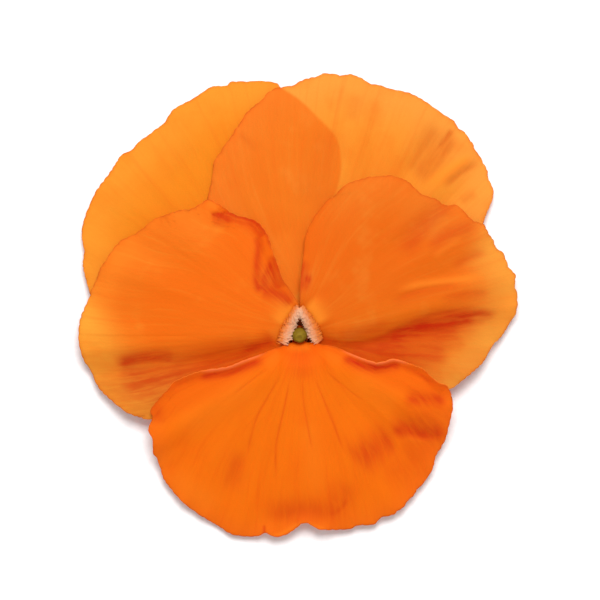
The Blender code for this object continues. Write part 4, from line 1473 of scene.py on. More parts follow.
@dataclass
class Stem:
    """The receptacle with the short cut stem under it, notched where the spur passes."""

    finish: GreenFinish
    plate_radius: float = 2.5
    plate_top: float = 3.15
    plate_foot: float = 1.7
    stalk_radius: float = 0.9
    bearing: float = 54.0
    run: Points = (
        (0.35, 2.5, 0.0), (0.5, 1.8, 0.0), (1.05, 1.2, 0.0), (2.0, 0.96, 0.0),
        (4.0, 0.93, 0.0), (8.0, 0.93, 0.25), (12.5, 0.93, 0.7), (16.5, 0.93, 1.3),
    )
    notch_radius: float = 1.6
    notch_axis: tuple[float, float] = (0.0, -2.35)
    ridges: int = 4
    ridge: float = 0.035
    end_hollow: float = 0.25
    sides: int = 48
    plate_sides: int = 96

    def stalk(self) -> Thing:
        """The cut stem as a closed ribbed tube, a little hollow at its cut end.

        Returns:
            The stalk.
        """
        bearing = math.radians(self.bearing)
        path = []
        for radius, z, aside in spline_at(self.run, np.linspace(0.0, len(self.run) - 1.0, 90)):
            x = radius * math.cos(bearing) - aside * math.sin(bearing)
            y = radius * math.sin(bearing) + aside * math.cos(bearing)
            path.append((x, y, z))
        path = np.array(path)
        radii = np.full(len(path), self.stalk_radius)
        verts, faces = tube(path, radii, self.sides, self.ridges, self.ridge)
        verts[-1] -= self.end_hollow * (path[-1] - path[-2]) / np.linalg.norm(path[-1] - path[-2])
        parts = Parts()
        rings = np.repeat(np.linspace(0.0, 1.0, len(path)), self.sides)
        turns = np.tile(np.linspace(0.0, 1.0, self.sides), len(path))
        parts.add(
            verts, faces, pale=np.concatenate((0.0 * rings, (0.0, 1.0))), warm=np.zeros(len(verts)),
            u=np.concatenate((turns, (0.0, 0.0))), v=np.concatenate((rings, (0.0, 1.0))),
        )
        return parts.make("stalk", self.finish.material())

    def turned(self, name: str, profile: Points, centre: tuple[float, float]) -> Thing:
        """A turned solid.

        Args:
            name: Name of the object.
            profile: Radius and level of points down its outer side, from axis to axis.
            centre: Where its axis stands.

        Returns:
            The object.
        """
        # A small turn keeps the points of the notch off those of the plate
        turns = even_turns(self.plate_sides) + 0.01
        verts = np.concatenate([ring(turns, radius, z) for radius, z in profile]) + (*centre, 0.0)
        zeros = np.zeros(len(verts))
        warm = smooth_step((verts[:, 2] - self.plate_top + 0.7) / 0.5)
        parts = Parts()
        parts.add(
            verts, turned_faces(len(profile), self.plate_sides),
            pale=zeros, warm=warm, u=np.tile(turns / 6.3, len(profile)), v=zeros + 0.1,
        )
        return parts.make(name, self.finish.material())

    def build(self) -> Thing:
        """Join plate and stalk, and cut the notch for the spur.

        Returns:
            The stem with its receptacle.
        """
        top = self.plate_radius
        profile = even_curve((
            (0.3, self.plate_top + 0.02), (top - 0.35, self.plate_top), (top - 0.06, self.plate_top - 0.12),
            (top, self.plate_top - 0.4), (top, self.plate_foot + 0.6), (top - 0.3, self.plate_foot + 0.15),
            (top - 0.9, self.plate_foot - 0.02), (0.3, self.plate_foot - 0.3),
        ), 40)
        plate = self.turned("receptacle_and_stem", tuple(map(tuple, profile)), (0.0, 0.0))
        notch = self.turned("notch", ((self.notch_radius, 8.0), (self.notch_radius, -2.0)), self.notch_axis)
        for tool, operation in ((self.stalk(), "UNION"), (notch, "DIFFERENCE")):
            change = plate.modifiers.new("combine", "BOOLEAN")
            change.operation = operation
            change.solver = "EXACT"
            change.object = tool
            graph = bpy.context.evaluated_depsgraph_get()
            mesh = bpy.data.meshes.new_from_object(plate.evaluated_get(graph), depsgraph=graph)
            plate.modifiers.clear()
            plate.data = mesh
            bpy.data.objects.remove(tool)
        mesh.name = plate.name
        mesh.shade_smooth()
        return settle(plate, "stem")


@dataclass
class Studio:
    """Plain pale floor, soft daylight from the top of the picture and a camera straight above."""

    camera_height: float = 600.0
    focus_level: float = 3.0
    picture_width: float = 84.0
    middle: tuple[float, float] = (0.315, 0.735)
    sky: float = 0.75
    key_power: float = 3.2
    key_size: float = 0.22
    key_place: tuple[float, float, float] = (0.02, 0.21, 0.5)
    sensor: float = 36.0
    clip: tuple[float, float] = (0.05, 20.0)
    floor_size: float = 3.0
    floor_gap: float = 0.00002
    floor_dark: Colour = (0.74, 0.74, 0.74, 1.0)
    floor_light: Colour = (0.77, 0.77, 0.77, 1.0)

    def floor(self) -> Thing:
        """The floor, a plain card with a faint fibre.

        Returns:
            The floor, which is no part of the object.
        """
        mesh = bpy.data.meshes.new("floor")
        bm = bmesh.new()
        bmesh.ops.create_grid(bm, x_segments=2, y_segments=2, size=self.floor_size)
        bm.to_mesh(mesh)
        bm.free()
        s = Shade("floor_card")
        fibre = s.noise(s.place(), 900.0, 3.0, 0.6)
        tone = s.mix(s.ramp(fibre, 0.4, 0.6, 0.0, 1.0), self.floor_dark, self.floor_light)
        card = {"Base Color": tone, "Roughness": 0.9, "Specular IOR Level": 0.1}
        mesh.materials.append(s.surface(s.node("ShaderNodeBsdfPrincipled", card).outputs[0]))
        floor = bpy.data.objects.new("floor", mesh)
        floor.location.z = -self.floor_gap
        return floor

    def camera(self) -> Thing:
        """The camera, which looks straight down and frames the picture's width.

        Returns:
            The camera.
        """
        lens = bpy.data.cameras.new("camera")
        lens.sensor_width = self.sensor
        lens.lens = self.sensor * (self.camera_height - self.focus_level) / self.picture_width
        lens.clip_start, lens.clip_end = self.clip
        camera = bpy.data.objects.new("camera", lens)
        camera.location = (self.middle[0] * MM, self.middle[1] * MM, self.camera_height * MM)
        return camera

    def build(self) -> None:
        """Set up floor, sky, key light and camera."""
        scene = bpy.context.scene
        world = bpy.data.worlds.new("daylight")
        world.use_nodes = True
        sky = world.node_tree.nodes["Background"]
        sky.inputs["Color"].default_value = (1.0, 1.0, 1.0, 1.0)
        sky.inputs["Strength"].default_value = self.sky
        scene.world = world
        lamp = bpy.data.lights.new("window", "AREA")
        lamp.energy = self.key_power
        lamp.size = self.key_size
        key = bpy.data.objects.new("window", lamp)
        key.location = self.key_place
        key.rotation_euler = key.location.to_track_quat("Z", "Y").to_euler()
        scene.camera = self.camera()
        floor = self.floor()
        for thing in (floor, key, scene.camera):
            scene.collection.objects.link(thing)
        floor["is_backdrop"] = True
        scene.view_settings.view_transform = "Standard"


UPPER_LEFT_MARGIN: Points = (
    (0.1, 6.3), (0.5, 11.2), (3.6, 16.8), (5.4, 21.0), (5.8, 24.5), (5.1, 27.6), (2.6, 30.4), (-0.1, 33.0),
    (-2.6, 34.7), (-3.3, 35.4), (-5.5, 35.7), (-7.6, 35.6), (-9.5, 35.6), (-10.4, 35.0), (-12.3, 34.9),
    (-13.9, 33.9), (-15.3, 33.0), (-16.7, 32.3), (-17.9, 31.5), (-19.1, 29.7), (-20.1, 29.0), (-21.2, 28.1),
    (-22.5, 27.2), (-23.7, 25.9), (-25.0, 25.3), (-25.8, 24.1), (-26.7, 22.7), (-28.5, 20.3), (-29.3, 18.6),
    (-29.8, 17.5), (-30.5, 15.1), (-30.5, 13.3), (-30.2, 11.9), (-30.3, 10.8), (-30.4, 9.8), (-30.0, 8.0),
    (-29.3, 5.6), (-28.5, 4.1), (-24.4, 0.7), (-18.8, -0.7), (-11.8, 0.0), (-6.2, 1.8), (-3.7, 3.2),
)
UPPER_RIGHT_MARGIN: Points = (
    (4.3, 4.2), (11.3, 4.9), (18.3, 7.0), (23.2, 10.2), (25.0, 13.0), (25.8, 15.8), (26.3, 17.2), (26.8, 18.3),
    (27.2, 19.6), (27.1, 20.7), (26.5, 22.0), (26.4, 23.1), (25.8, 24.2), (25.3, 25.2), (24.7, 25.9),
    (24.3, 26.9), (23.7, 27.7), (23.3, 28.4), (22.3, 29.1), (21.8, 30.0), (21.1, 30.5), (20.1, 31.1),
    (19.0, 31.9), (18.0, 32.6), (16.9, 33.3), (15.9, 33.8), (15.1, 34.1), (13.7, 34.4), (12.4, 34.7),
    (11.3, 35.1), (9.9, 35.3), (8.8, 36.0), (7.8, 36.4), (7.1, 36.6), (5.8, 36.4), (5.0, 36.6), (3.3, 36.7),
    (2.6, 36.3), (1.2, 36.0), (0.1, 35.6), (-0.6, 35.1), (-1.6, 34.9), (-2.6, 34.7), (-3.3, 34.6), (-4.4, 34.0),
    (-5.3, 32.9), (-6.1, 32.3), (-6.9, 31.6), (-7.6, 30.9), (-8.2, 29.8), (-9.0, 28.8), (-9.2, 28.3),
    (-9.9, 27.3), (-10.6, 26.4), (-11.0, 25.6), (-11.5, 25.0), (-12.0, 24.1), (-12.1, 22.8), (-12.4, 21.0),
    (-12.8, 19.2), (-12.8, 18.0), (-12.0, 15.8), (-10.0, 12.6), (-6.4, 9.4), (-2.2, 6.6),
)
LEFT_MARGIN: Points = (
    (-0.15, 3.4), (-0.16, 4.4), (-0.66, 5.3), (-1.5, 6.6), (-2.3, 7.7), (-2.9, 9.4), (-3.4, 10.8),
    (-3.9, 12.2), (-4.3, 13.6), (-5.0, 14.8), (-5.8, 15.7), (-6.9, 16.2), (-8.3, 16.5), (-9.5, 17.0),
    (-10.6, 17.8), (-11.7, 18.5),
    (-12.8, 18.9), (-13.9, 18.2), (-15.3, 17.5), (-16.7, 17.4), (-18.8, 16.7), (-20.2, 16.2), (-21.6, 15.1),
    (-23.0, 14.1), (-24.9, 13.2), (-26.1, 11.9), (-27.2, 10.2), (-27.8, 9.4), (-28.4, 7.7), (-29.1, 6.3),
    (-29.3, 5.5), (-30.2, 3.5), (-30.7, 2.1), (-30.9, 0.3), (-30.8, -1.4), (-30.2, -3.5), (-29.3, -4.9),
    (-28.2, -7.3), (-26.3, -9.2), (-24.2, -10.8), (-22.3, -11.5), (-20.9, -11.8), (-17.4, -11.2),
    (-13.2, -9.4), (-9.0, -6.9), (-5.6, -4.5), (-3.4, -2.9), (-2.3, -1.8),
)
RIGHT_MARGIN: Points = (
    (2.4, -1.5), (4.0, -2.8), (8.5, -5.5), (13.0, -7.7), (16.9, -8.5), (20.9, -7.6), (22.8, -6.3), (24.4, -5.0),
    (25.7, -3.8), (26.4, -2.5), (27.1, -1.4), (28.1, -0.4), (28.9, 0.7), (29.5, 1.8), (30.2, 2.8), (30.5, 4.2),
    (30.4, 5.9), (30.1, 7.0), (30.2, 8.4), (29.3, 9.4), (28.9, 10.5), (28.4, 11.6), (27.5, 12.2), (27.1, 13.3),
    (26.5, 14.1), (25.8, 15.4), (25.0, 15.7), (24.2, 16.0), (23.3, 16.9), (22.5, 17.8), (21.8, 18.2),
    (20.9, 18.1), (20.0, 18.3), (19.1, 19.0), (18.0, 19.3), (17.0, 19.7), (16.2, 20.4), (15.3, 21.3),
    (14.4, 21.8), (13.4, 22.1), (12.4, 22.3), (11.0, 22.1), (9.9, 22.1), (9.2, 21.9), (8.4, 21.7), (7.4, 21.4),
    (6.5, 21.0), (5.7, 20.3), (4.8, 19.3), (4.0, 18.9), (3.3, 18.1), (2.6, 17.2), (1.9, 16.2), (1.2, 14.8),
    (0.8, 13.6), (0.6, 11.9), (0.4, 10.2), (0.2, 8.4), (0.1, 7.0), (0.06, 5.6), (0.05, 4.5), (0.12, 3.4),
)
LIP_MARGIN: Points = (
    (-2.6, -1.6), (-3.6, -1.9), (-5.3, -2.6), (-8.0, -3.6), (-10.0, -4.4), (-13.3, -4.9), (-15.7, -5.7),
    (-17.4, -6.5), (-18.1, -7.3), (-19.7, -9.0), (-20.8, -10.5), (-20.5, -11.5), (-20.9, -12.5), (-21.1, -13.3),
    (-20.5, -14.7), (-20.5, -16.4), (-20.0, -17.2), (-19.5, -18.6), (-19.0, -20.2), (-17.9, -21.7),
    (-16.7, -23.1), (-15.6, -24.1), (-14.2, -25.1), (-12.8, -26.0), (-11.1, -27.0), (-9.7, -27.9),
    (-8.3, -28.2),
    (-6.7, -28.3), (-5.5, -28.1), (-4.8, -27.7), (-4.1, -28.1), (-3.0, -28.3), (-1.9, -28.0), (-0.8, -27.3),
    (0.2, -26.5), (0.9, -26.3), (1.8, -26.7), (2.6, -27.2), (3.7, -27.3), (5.4, -27.3), (7.1, -27.2),
    (8.2, -26.7), (10.3, -26.6), (11.0, -26.0), (11.7, -25.5), (13.1, -25.2), (13.8, -24.6), (14.5, -24.2),
    (15.2, -23.2), (16.0, -22.5), (16.5, -21.6), (17.3, -20.9), (18.0, -19.9), (18.7, -18.6), (19.1, -16.9),
    (19.8, -15.8), (20.5, -14.4), (20.8, -13.0), (21.2, -11.2), (21.4, -9.7), (20.7, -7.3), (19.0, -6.4),
    (17.3, -4.8), (16.2, -4.3), (14.0, -3.5), (13.0, -3.3), (11.0, -3.8), (9.3, -3.4), (6.8, -2.4), (5.0, -1.6),
    (3.2, -1.3),
)
# The marks paint reddening that stands partly for shade in folds and under upturned rims, and a yellower tone
# that stands partly for light on ridges and in shaded hollows
UPPER_RIGHT_MARKS: tuple[Mark, ...] = (
    Mark(((19.7, 30.0), (18.0, 27.0), (16.2, 24.2), (14.8, 22.0)), 1.3, 1.7, 0.42, 0.06),
    Mark(((21.7, 29.1), (20.6, 27.4), (19.3, 25.8)), 0.5, 0.55, 0.8, 0.16),
    Mark(((22.1, 28.6), (20.2, 25.9), (18.3, 23.5), (16.0, 21.1)), 1.3, 1.8, 0.6, 0.12),
    Mark(((24.6, 25.3), (21.9, 23.8), (19.4, 22.1), (17.2, 20.4)), 0.8, 0.6, yellow_and_painted_light=0.7, depth=-0.18),
    Mark(((25.6, 24.2), (23.5, 23.2), (21.5, 21.7), (20.0, 20.3)), 0.4, 0.8, 0.5, 0.14),
    Mark(((25.1, 19.7), (23.7, 19.2), (22.5, 18.2)), 0.6, 0.8, 0.3, 0.08),
    Mark(((8.2, 34.0), (7.6, 31.8), (7.1, 29.5)), 1.0, 1.0, 0.22, 0.08),
    Mark(((4.3, 30.1), (3.7, 25.9), (2.6, 21.7), (0.9, 16.8)), 2.8, 2.6, 0.26),
    Mark(((-9.0, 28.4), (-7.5, 27.3), (-5.7, 25.5)), 0.5, 0.5, 0.24, 0.05),
    Mark(((-0.4, 6.0), (-1.3, 8.8), (-2.3, 11.9), (-3.3, 15.0)), 2.0, 2.4, 0.06, yellow_and_painted_light=0.26),
    Mark(((-0.2, 4.5), (-0.9, 6.0), (-1.8, 8.3)), 0.9, 0.9, yellow_and_painted_light=0.3),
)
LEFT_MARKS: tuple[Mark, ...] = (
    Mark(((-26.0, -4.6), (-24.0, -3.6), (-21.9, -3.2), (-19.8, -3.1), (-16.5, -3.2)),
         1.1, 0.9, 0.8, 0.12, ends=0.2),
    Mark(((-21.5, -3.2), (-15.6, -3.2), (-11.4, -2.8), (-7.8, -2.1), (-4.4, -1.0)),
         1.0, 1.7, 0.42, 0.08, ends=0.2),
    Mark(((-26.8, -6.0), (-20.9, -5.7), (-15.3, -4.8), (-8.6, -2.9), (-5.3, -1.8)), 2.7, 2.7, 0.54, ends=0.12),
    Mark(((-25.7, -5.0), (-22.6, -5.7), (-18.7, -6.0), (-14.5, -5.2)), 1.3, 1.9, 0.62, 0.05, ends=0.2),
    Mark(((-24.6, -6.9), (-22.1, -7.7), (-19.0, -7.8)), 0.9, 1.2, 0.46, 0.05, ends=0.3),
    Mark(((-28.8, -4.3), (-26.8, -7.4), (-23.7, -9.9), (-19.8, -12.2)), 3.2, 3.2, 0.36, ends=0.2),
    Mark(((-25.4, -7.1), (-20.9, -8.3), (-16.2, -8.5)), 2.4, 2.4, 0.5, ends=0.25),
    Mark(((-25.1, -8.5), (-22.3, -7.7), (-19.5, -6.9)), 1.2, 1.2, 0.16),
    Mark(((-8.6, -2.4), (-6.4, -1.7), (-4.6, -1.0), (-2.9, -0.4)), 1.0, 0.9, 0.8, 0.15),
    Mark(((-12.5, 16.7), (-10.9, 17.0), (-9.0, 16.9), (-7.4, 16.4), (-5.8, 15.5), (-4.4, 13.9)),
         0.3, 1.3, 0.82, 0.16, ends=0.05),
    Mark(((-10.3, 17.1), (-8.3, 16.6), (-6.9, 16.3), (-5.8, 15.7), (-5.0, 14.8), (-4.3, 13.6),
         (-3.9, 11.9)), 0.4, 0.35, 0.6, ends=0.12),
    Mark(((-12.3, 16.1), (-10.9, 16.1), (-8.9, 16.0)), 0.6, 0.9, 0.65, 0.08, ends=0.3),
    Mark(((-13.4, 18.5), (-12.0, 18.3), (-10.7, 17.8)), 0.9, 0.9, yellow_and_painted_light=0.42, ends=0.4),
    Mark(((-12.1, 15.0), (-11.1, 14.7), (-10.0, 14.6)), 0.6, 0.6, yellow_and_painted_light=0.25, ends=0.4),
    Mark(((-6.2, 14.1), (-5.7, 12.5), (-5.9, 10.8), (-6.0, 9.1), (-6.0, 7.4), (-5.4, 5.5)),
         0.8, 0.5, 0.72, 0.1, ends=0.12),
    Mark(((-3.5, 11.2), (-4.1, 9.4), (-5.0, 7.6), (-5.4, 5.9)), 1.5, 0.6, 0.72, 0.1, ends=0.12),
    Mark(((-3.3, 10.2), (-3.3, 8.3), (-2.7, 6.3)), 1.2, 1.4, 0.68, ends=0.12),
    Mark(((-5.5, 6.2), (-4.0, 6.0), (-2.2, 5.3), (-0.8, 4.3)), 1.0, 1.0, 0.74, 0.06, ends=0.15),
    Mark(((-2.3, 1.8), (-3.3, 0.8), (-4.4, -0.1)), 1.1, 1.1, yellow_and_painted_light=0.25),
    Mark(((-0.9, 4.6), (-2.0, 3.2), (-3.2, 1.3)), 1.2, 1.4, yellow_and_painted_light=0.85),
    Mark(((-27.9, 0.7), (-27.4, 4.9), (-25.1, 10.2), (-20.9, 13.3)), 1.8, 1.8, yellow_and_painted_light=0.25),
)
RIGHT_MARKS: tuple[Mark, ...] = (
    Mark(((3.7, -1.0), (7.1, -1.1), (10.2, -0.7), (13.0, 0.4), (16.0, 1.9), (19.1, 2.9), (22.2, 3.3),
         (25.3, 3.3), (28.1, 3.1)), 0.5, 1.3, 0.6, 0.14, ends=0.12),
    Mark(((10.7, -0.8), (14.1, 0.4), (17.4, 1.5), (20.5, 2.2), (23.3, 2.7), (26.1, 2.8)),
         1.0, 2.1, 0.9, 0.08, ends=0.2),
    Mark(((4.0, -0.6), (7.4, 0.3), (10.7, 1.1), (13.5, 2.0)), 0.9, 1.0, 0.36, ends=0.3),
    Mark(((9.3, -1.5), (14.1, -1.0), (18.8, -0.1), (23.3, 1.4)), 1.7, 2.0, 0.6, ends=0.15),
    Mark(((5.7, -2.0), (11.3, -2.5), (15.5, -2.8), (21.4, -2.2)), 1.5, 1.6, 0.64, ends=0.15),
    Mark(((21.9, 2.5), (24.7, 2.9), (27.8, 2.9)), 0.4, 0.8, 0.5, 0.08),
    Mark(((21.1, 1.1), (23.9, 1.6), (26.5, 1.8)), 0.35, 0.5, 0.36, 0.06),
    Mark(((19.4, -2.0), (21.5, -1.5), (23.6, -1.3)), 0.3, 0.5, 0.24, 0.05),
    Mark(((13.0, 6.0), (16.3, 6.9), (19.7, 7.4), (23.3, 7.8), (26.5, 8.3)), 0.6, 0.5, yellow_and_painted_light=0.4, depth=-0.14),
    Mark(((12.1, 4.5), (15.5, 5.9), (19.4, 6.7), (23.0, 7.1)), 0.4, 1.1, 0.26, 0.12),
    Mark(((19.1, 4.9), (22.2, 5.6), (24.7, 5.9), (27.2, 5.7)), 0.5, 0.9, 0.3, 0.1),
    Mark(((22.8, 18.3), (20.1, 17.4), (17.7, 15.1), (15.8, 12.7), (14.4, 10.2)), 1.1, 2.0, 0.38, 0.18),
    Mark(((25.6, 15.5), (22.5, 14.6), (19.7, 13.3), (17.3, 11.8)), 1.0, 1.2, 0.36, 0.14),
    Mark(((22.9, 13.6), (20.5, 12.2), (18.3, 10.5)), 0.5, 0.5, yellow_and_painted_light=0.22, depth=-0.08),
    Mark(((26.5, 11.6), (23.9, 10.8), (21.1, 9.2)), 0.5, 0.7, 0.28, 0.1),
    Mark(((0.6, 10.8), (0.5, 8.0), (0.9, 5.7)), 0.7, 1.5, 0.6),
    Mark(((0.4, 8.3), (1.1, 7.8), (2.0, 7.6)), 0.7, 0.8, 0.75, ends=0.4),
    Mark(((0.8, 4.6), (2.0, 3.4), (3.2, 1.3)), 1.4, 1.2, yellow_and_painted_light=0.9),
    Mark(((2.3, 0.0), (4.0, -0.7), (6.0, -1.0)), 0.5, 0.7, 0.6, 0.08),
    Mark(((29.2, 6.3), (29.3, 3.2), (28.4, 0.1)), 1.8, 1.8, yellow_and_painted_light=0.25),
    Mark(((27.0, -1.5), (25.0, -4.3), (21.9, -6.9)), 2.2, 2.2, 0.2, ends=0.3),
)
# The first two lip marks paint highlights along its upturned rims
LIP_MARKS: tuple[Mark, ...] = (
    Mark(((-14.2, -5.1), (-13.3, -4.9), (-10.0, -4.4), (-8.0, -3.6), (-5.3, -2.6), (-4.4, -2.4)),
         0.3, 0.22, ends=0.2, painted_highlight=0.6),
    Mark(((5.4, -2.0), (6.8, -2.4), (9.3, -3.4), (11.0, -3.8), (13.0, -3.3), (14.0, -3.5), (15.8, -4.1)),
         0.3, 0.22, ends=0.2, painted_highlight=0.6),
    Mark(((-14.8, -5.9), (-12.8, -5.4), (-10.3, -5.0), (-8.1, -4.3), (-5.8, -3.4), (-4.4, -2.9)),
         0.3, 0.85, 0.95, 0.1, ends=0.2),
    Mark(((-18.7, -7.8), (-15.9, -6.3), (-12.8, -5.3)), 0.3, 0.6, 0.34, 0.05),
    Mark(((5.7, -2.7), (7.6, -3.4), (9.3, -4.0), (11.1, -4.3), (13.0, -3.9), (14.6, -4.2)),
         0.3, 0.9, 1.0, 0.12, ends=0.15),
    Mark(((7.1, -3.6), (9.0, -4.2), (11.4, -4.5)), 0.4, 0.8, 0.5),
    Mark(((13.0, -3.9), (15.5, -4.6), (17.4, -5.7), (19.4, -7.4)), 0.25, 0.5, 0.45, 0.06),
    Mark(((14.1, -8.5), (17.4, -8.9), (19.4, -9.0), (21.1, -9.5)), 1.0, 1.3, 0.7, 0.1, ends=0.25),
    Mark(((12.1, -13.0), (15.5, -13.5), (17.4, -13.9), (19.3, -13.7), (20.9, -12.9)),
         1.7, 1.1, 0.7, 0.14, ends=0.2),
    Mark(((11.8, -12.6), (14.8, -12.3), (18.6, -12.5)), 1.4, 1.4, 0.34),
    Mark(((14.4, -14.4), (16.9, -14.8), (19.4, -14.6)), 0.4, 0.5, yellow_and_painted_light=0.15, depth=-0.08),
    Mark(((7.1, -18.1), (10.2, -15.8), (13.8, -13.6)), 2.2, 2.4, 0.64, 0.08),
    Mark(((18.6, -6.9), (18.0, -9.8), (16.6, -14.7), (14.4, -18.3), (11.3, -21.7)), 3.2, 2.6, 0.32),
    Mark(((-10.0, -22.8), (-9.2, -19.3), (-7.9, -15.3)), 1.3, 1.3, 0.36, 0.06, ends=0.4),
    Mark(((-5.3, -5.5), (-9.2, -8.3), (-13.1, -10.8), (-17.9, -13.6)), 2.0, 1.8, yellow_and_painted_light=0.34),
    Mark(((6.8, -5.2), (10.2, -7.4), (14.1, -10.2)), 1.6, 1.6, yellow_and_painted_light=0.3),
    Mark(((-18.7, -18.9), (-15.1, -22.0), (-10.9, -24.8)), 2.0, 2.0, yellow_and_painted_light=0.4),
    Mark(((-20.7, -9.7), (-19.8, -10.6), (-19.5, -12.6)), 0.9, 0.9, 0.4, 0.06),
    Mark(((0.9, -10.5), (1.6, -15.4), (2.2, -20.3), (2.5, -23.5)), 1.6, 1.5, yellow_and_painted_light=0.3),
    Mark(((-4.7, -25.1), (-1.9, -25.5), (1.2, -25.3)), 0.9, 0.9, 0.3, 0.06, ends=0.4),
    Mark(((-5.8, -28.0), (-4.1, -28.3), (-2.6, -27.9), (-1.1, -27.0), (0.5, -26.4), (2.0, -26.8),
         (4.3, -27.3)), 0.3, 0.3, yellow_and_painted_light=0.75, ends=0.15),
    Mark(((-5.0, -28.1), (-4.9, -27.4), (-5.0, -26.5)), 0.25, 0.25, 0.6, 0.06),
    Mark(((6.5, -22.3), (6.2, -23.7), (5.0, -24.9), (3.7, -25.5)), 0.45, 0.45, 0.5, 0.06),
    Mark(((-2.2, -1.5), (-0.1, -1.9), (2.0, -1.5)), 0.5, 0.5, yellow_and_painted_light=0.55),
    Mark(((4.1, -24.9), (5.7, -22.8), (6.9, -19.5)), 2.0, 2.0, 0.34, 0.04, ends=0.4),
    Mark(((-6.4, -24.8), (-1.3, -24.5), (2.6, -24.5), (8.8, -24.8)), 1.8, 1.8, 0.44, 0.1, ends=0.3),
    Mark(((-2.3, -2.0), (-3.6, -3.2), (-5.0, -4.6)), 0.8, 0.9, yellow_and_painted_light=0.25),
    Mark(((2.6, -1.7), (4.3, -2.7), (6.0, -4.1)), 0.8, 0.8, yellow_and_painted_light=0.25),
    Mark(((0.1, -1.5), (0.2, -4.1), (0.4, -6.6)), 1.6, 1.6, 0.24),
    Mark(((-20.7, -14.7), (-19.3, -18.9), (-15.9, -23.1), (-12.0, -25.6)), 1.0, 1.0, yellow_and_painted_light=0.3),
    Mark(((-2.2, -4.3), (-3.9, -7.7), (-5.8, -11.1), (-6.9, -14.7), (-7.4, -17.8)), 0.2, 0.2, 0.3, 0.05),
    Mark(((-1.3, -5.2), (-1.9, -9.1), (-2.7, -12.5), (-3.3, -16.1), (-3.2, -20.9)), 0.2, 0.2, 0.36, 0.06),
    Mark(((0.4, -4.9), (0.5, -8.5), (1.1, -12.5), (2.0, -16.9)), 0.18, 0.18, 0.32, 0.05),
    Mark(((1.8, -5.2), (3.4, -9.1), (4.8, -12.5), (6.4, -16.9)), 0.2, 0.2, 0.34, 0.05),
    Mark(((-3.9, -4.3), (-6.7, -6.3), (-9.5, -8.5)), 0.16, 0.16, 0.22, 0.04),
    Mark(((3.2, -4.6), (6.2, -7.1), (9.3, -9.4)), 0.16, 0.16, 0.22, 0.04),
)
UPPER_LEFT_MARKS: tuple[Mark, ...] = (
    Mark(((-14.5, 27.3), (-17.0, 24.2), (-19.5, 20.3)), 1.4, 1.4, 0.1, 0.08),
    Mark(((-22.3, 23.1), (-19.5, 18.9), (-17.3, 15.8)), 1.6, 1.6, 0.08, 0.06),
)


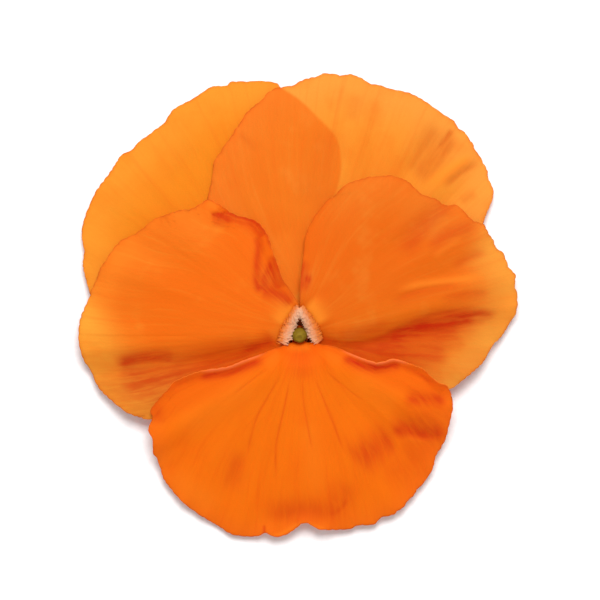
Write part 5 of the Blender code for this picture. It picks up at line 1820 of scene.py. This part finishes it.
@dataclass
class Bloom:
    """The whole flower, built from its receptacle out."""

    relief: Relief = field(default_factory=Relief)

    def uppers(self) -> list[Petal]:
        """The two upper petals.

        Returns:
            The left one, and the right one that lies over it.
        """
        left = Petal(
            Layer.UPPER_LEFT, "petal_upper", self.relief.upper_left,
            PetalFinish("upper_left_skin", ground=paint(232, 142, 24), margin=paint(236, 160, 46),
                        deep_tone_and_overlap_shade=paint(230, 128, 20), throat=paint(220, 108, 16), flush=paint(208, 98, 18),
                        streak_strength=0.12, vein_strength=0.08),
            Foot(106.0, 142.0), ((-0.75, 4.35), (-1.9, 3.9), (-3.0, 3.0)),
            UPPER_LEFT_MARGIN, ((5.8, 24.5), (-24.4, 0.7)), marks=UPPER_LEFT_MARKS, seed=11,
        )
        right = Petal(
            Layer.UPPER_RIGHT, "petal_upper", self.relief.upper_right,
            PetalFinish("upper_right_skin", ground=paint(234, 151, 42), margin=paint(236, 163, 62),
                        deep_tone_and_overlap_shade=paint(226, 113, 15), throat=paint(206, 106, 24), flush=paint(202, 94, 18),
                        streak_strength=0.14, vein_strength=0.1),
            Foot(38.0, 74.0), ((2.6, 3.1), (1.4, 3.65), (0.0, 3.9)),
            UPPER_RIGHT_MARGIN, ((23.2, 10.2), (-12.8, 18.9)),
            curls=(Curl((-2.6, 34.7), (-11.3, 25.5), 0.3, 2.0),),
            marks=UPPER_RIGHT_MARKS, below=(left,), seed=23,
        )
        return [left, right]

    def sides(self, uppers: list[Petal]) -> list[Petal]:
        """The two side petals.

        Args:
            uppers: The upper petals, over which they lie.

        Returns:
            The left side petal and the right one.
        """
        left = Petal(
            Layer.LEFT, "petal_side", self.relief.left,
            PetalFinish("left_skin", ground=paint(232, 118, 16), margin=paint(236, 174, 58),
                        deep_tone_and_overlap_shade=paint(231, 113, 14), throat=paint(224, 98, 12)),
            Foot(160.0, 206.0), ((-0.14, 2.25), (-1.1, 0.72), (-1.9, -0.9)),
            LEFT_MARGIN, ((-12.8, 18.9), (-20.9, -11.8)),
            curls=(Curl((-1.1, 5.6), (-7.3, 16.4), 0.95, 2.2), Curl((-9.5, 17.0), (-20.0, 16.2), 0.85, 2.6)),
            marks=LEFT_MARKS, below=tuple(uppers), cover_softness=5.0, edge_zone=6.0, seed=37,
        )
        right = Petal(
            Layer.RIGHT, "petal_side", self.relief.right,
            PetalFinish("right_skin", ground=paint(222, 113, 16), margin=paint(228, 161, 58),
                        deep_tone_and_overlap_shade=paint(222, 108, 14), throat=paint(220, 96, 12)),
            Foot(-26.0, 20.0), ((1.95, -0.55), (1.2, 0.75), (0.24, 1.95)),
            RIGHT_MARGIN, ((16.9, -8.5), (6.5, 21.0)),
            curls=(Curl((17.0, 19.7), (5.7, 20.3), 0.25, 2.0),),
            marks=RIGHT_MARKS, below=tuple(uppers), cover_softness=5.0, edge_zone=5.0, seed=41,
        )
        return [left, right]

    def lip(self, sides: list[Petal]) -> Petal:
        """The lip.

        Args:
            sides: The side petals, over which it lies.

        Returns:
            The lip.
        """
        return Petal(
            Layer.LIP, "petal_lip", self.relief.lip,
            PetalFinish("lip_skin", ground=paint(240, 124, 10), margin=paint(236, 120, 18),
                        deep_tone_and_overlap_shade=paint(236, 111, 10), throat=paint(240, 98, 5), yellow_and_painted_light=paint(244, 138, 26),
                        flush=paint(202, 50, 10), streak_strength=0.2, vein_strength=0.16),
            Foot(205.0, 335.0, 0.975, 2.75, (0.0, -2.35)),
            ((-1.85, -1.3), (-1.0, -1.15), (0.1, -1.08), (1.25, -1.15), (2.3, -1.0)),
            LIP_MARGIN, ((-20.6, -10.5), (20.9, -8.8)),
            curls=(
                Curl((-4.7, -2.7), (-20.3, -10.2), 0.8, 1.6),
                Curl((21.2, -11.0), (6.0, -2.5), 0.85, 1.6),
                Curl((-8.3, -28.2), (6.4, -27.0), 0.5, 2.4),
            ),
            marks=LIP_MARKS, below=tuple(sides), cover_softness=2.5, edge_zone=2.2, seed=53,
        )

    def build(self) -> None:
        """Build every piece in order, from the lowest petal to the stem."""
        uppers = self.uppers()
        sides = self.sides(uppers)
        lip = self.lip(sides)
        for petal in (*uppers, *sides, lip):
            petal.build()
        Spur(lip.finish).build()
        hair = HairFinish()
        Beard("beard_left", self.relief.left, ((-0.36, 3.9), (-1.52, 1.55), (-2.72, -0.84)),
              self.relief, hair, 10).build()
        Beard("beard_right", self.relief.right, ((0.36, 3.85), (1.6, 1.66), (2.84, -0.54)),
              self.relief, hair, 12).build()
        Pistil(GreenFinish(
            "stigma_skin", paint(118, 92, 8), paint(102, 78, 8), paint(126, 102, 16), paint(112, 62, 12),
            0.65, 2600.0, bump_depth=0.02,
        )).build()
        Stamens(GreenFinish(
            "anther_skin", paint(214, 112, 26), paint(184, 86, 18), paint(232, 150, 60), paint(160, 84, 22),
            0.6, 2400.0,
        )).build()
        green = GreenFinish(
            "sepal_skin", paint(96, 134, 54), paint(76, 112, 44), paint(156, 178, 104), paint(96, 134, 54),
            0.5, 700.0, 14.0, 0.08,
        )
        sepals = (
            ("sepal_top", 92.0, 13.6, 0.35), ("sepal_upper_left", 158.0, 14.4, 0.3),
            ("sepal_lower_left", 218.0, 13.0, 0.06), ("sepal_lower_right", 322.0, 13.4, 0.06),
            ("sepal_upper_right", 14.0, 14.0, 0.3),
        )
        for number, (node, bearing, length, lobe_level) in enumerate(sepals):
            Sepal(node, bearing, length, lobe_level, green, 60 + 3 * number).build()
        Stem(GreenFinish(
            "stem_skin", paint(118, 150, 70), paint(98, 128, 54), paint(170, 190, 118), paint(124, 64, 14),
            0.45, 600.0, 26.0, 0.06,
        )).build()


def corners() -> list[list[float]]:
    """The shown object's lowest and highest corner as plain lists."""
    return [list(corner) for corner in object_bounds()]


def main() -> None:
    """Load the frame, build the studio and the bloom."""
    logging.basicConfig(level=logging.INFO, format="%(message)s")
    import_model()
    Studio().build()
    Bloom().build()


if __name__ == "__main__":
    main()
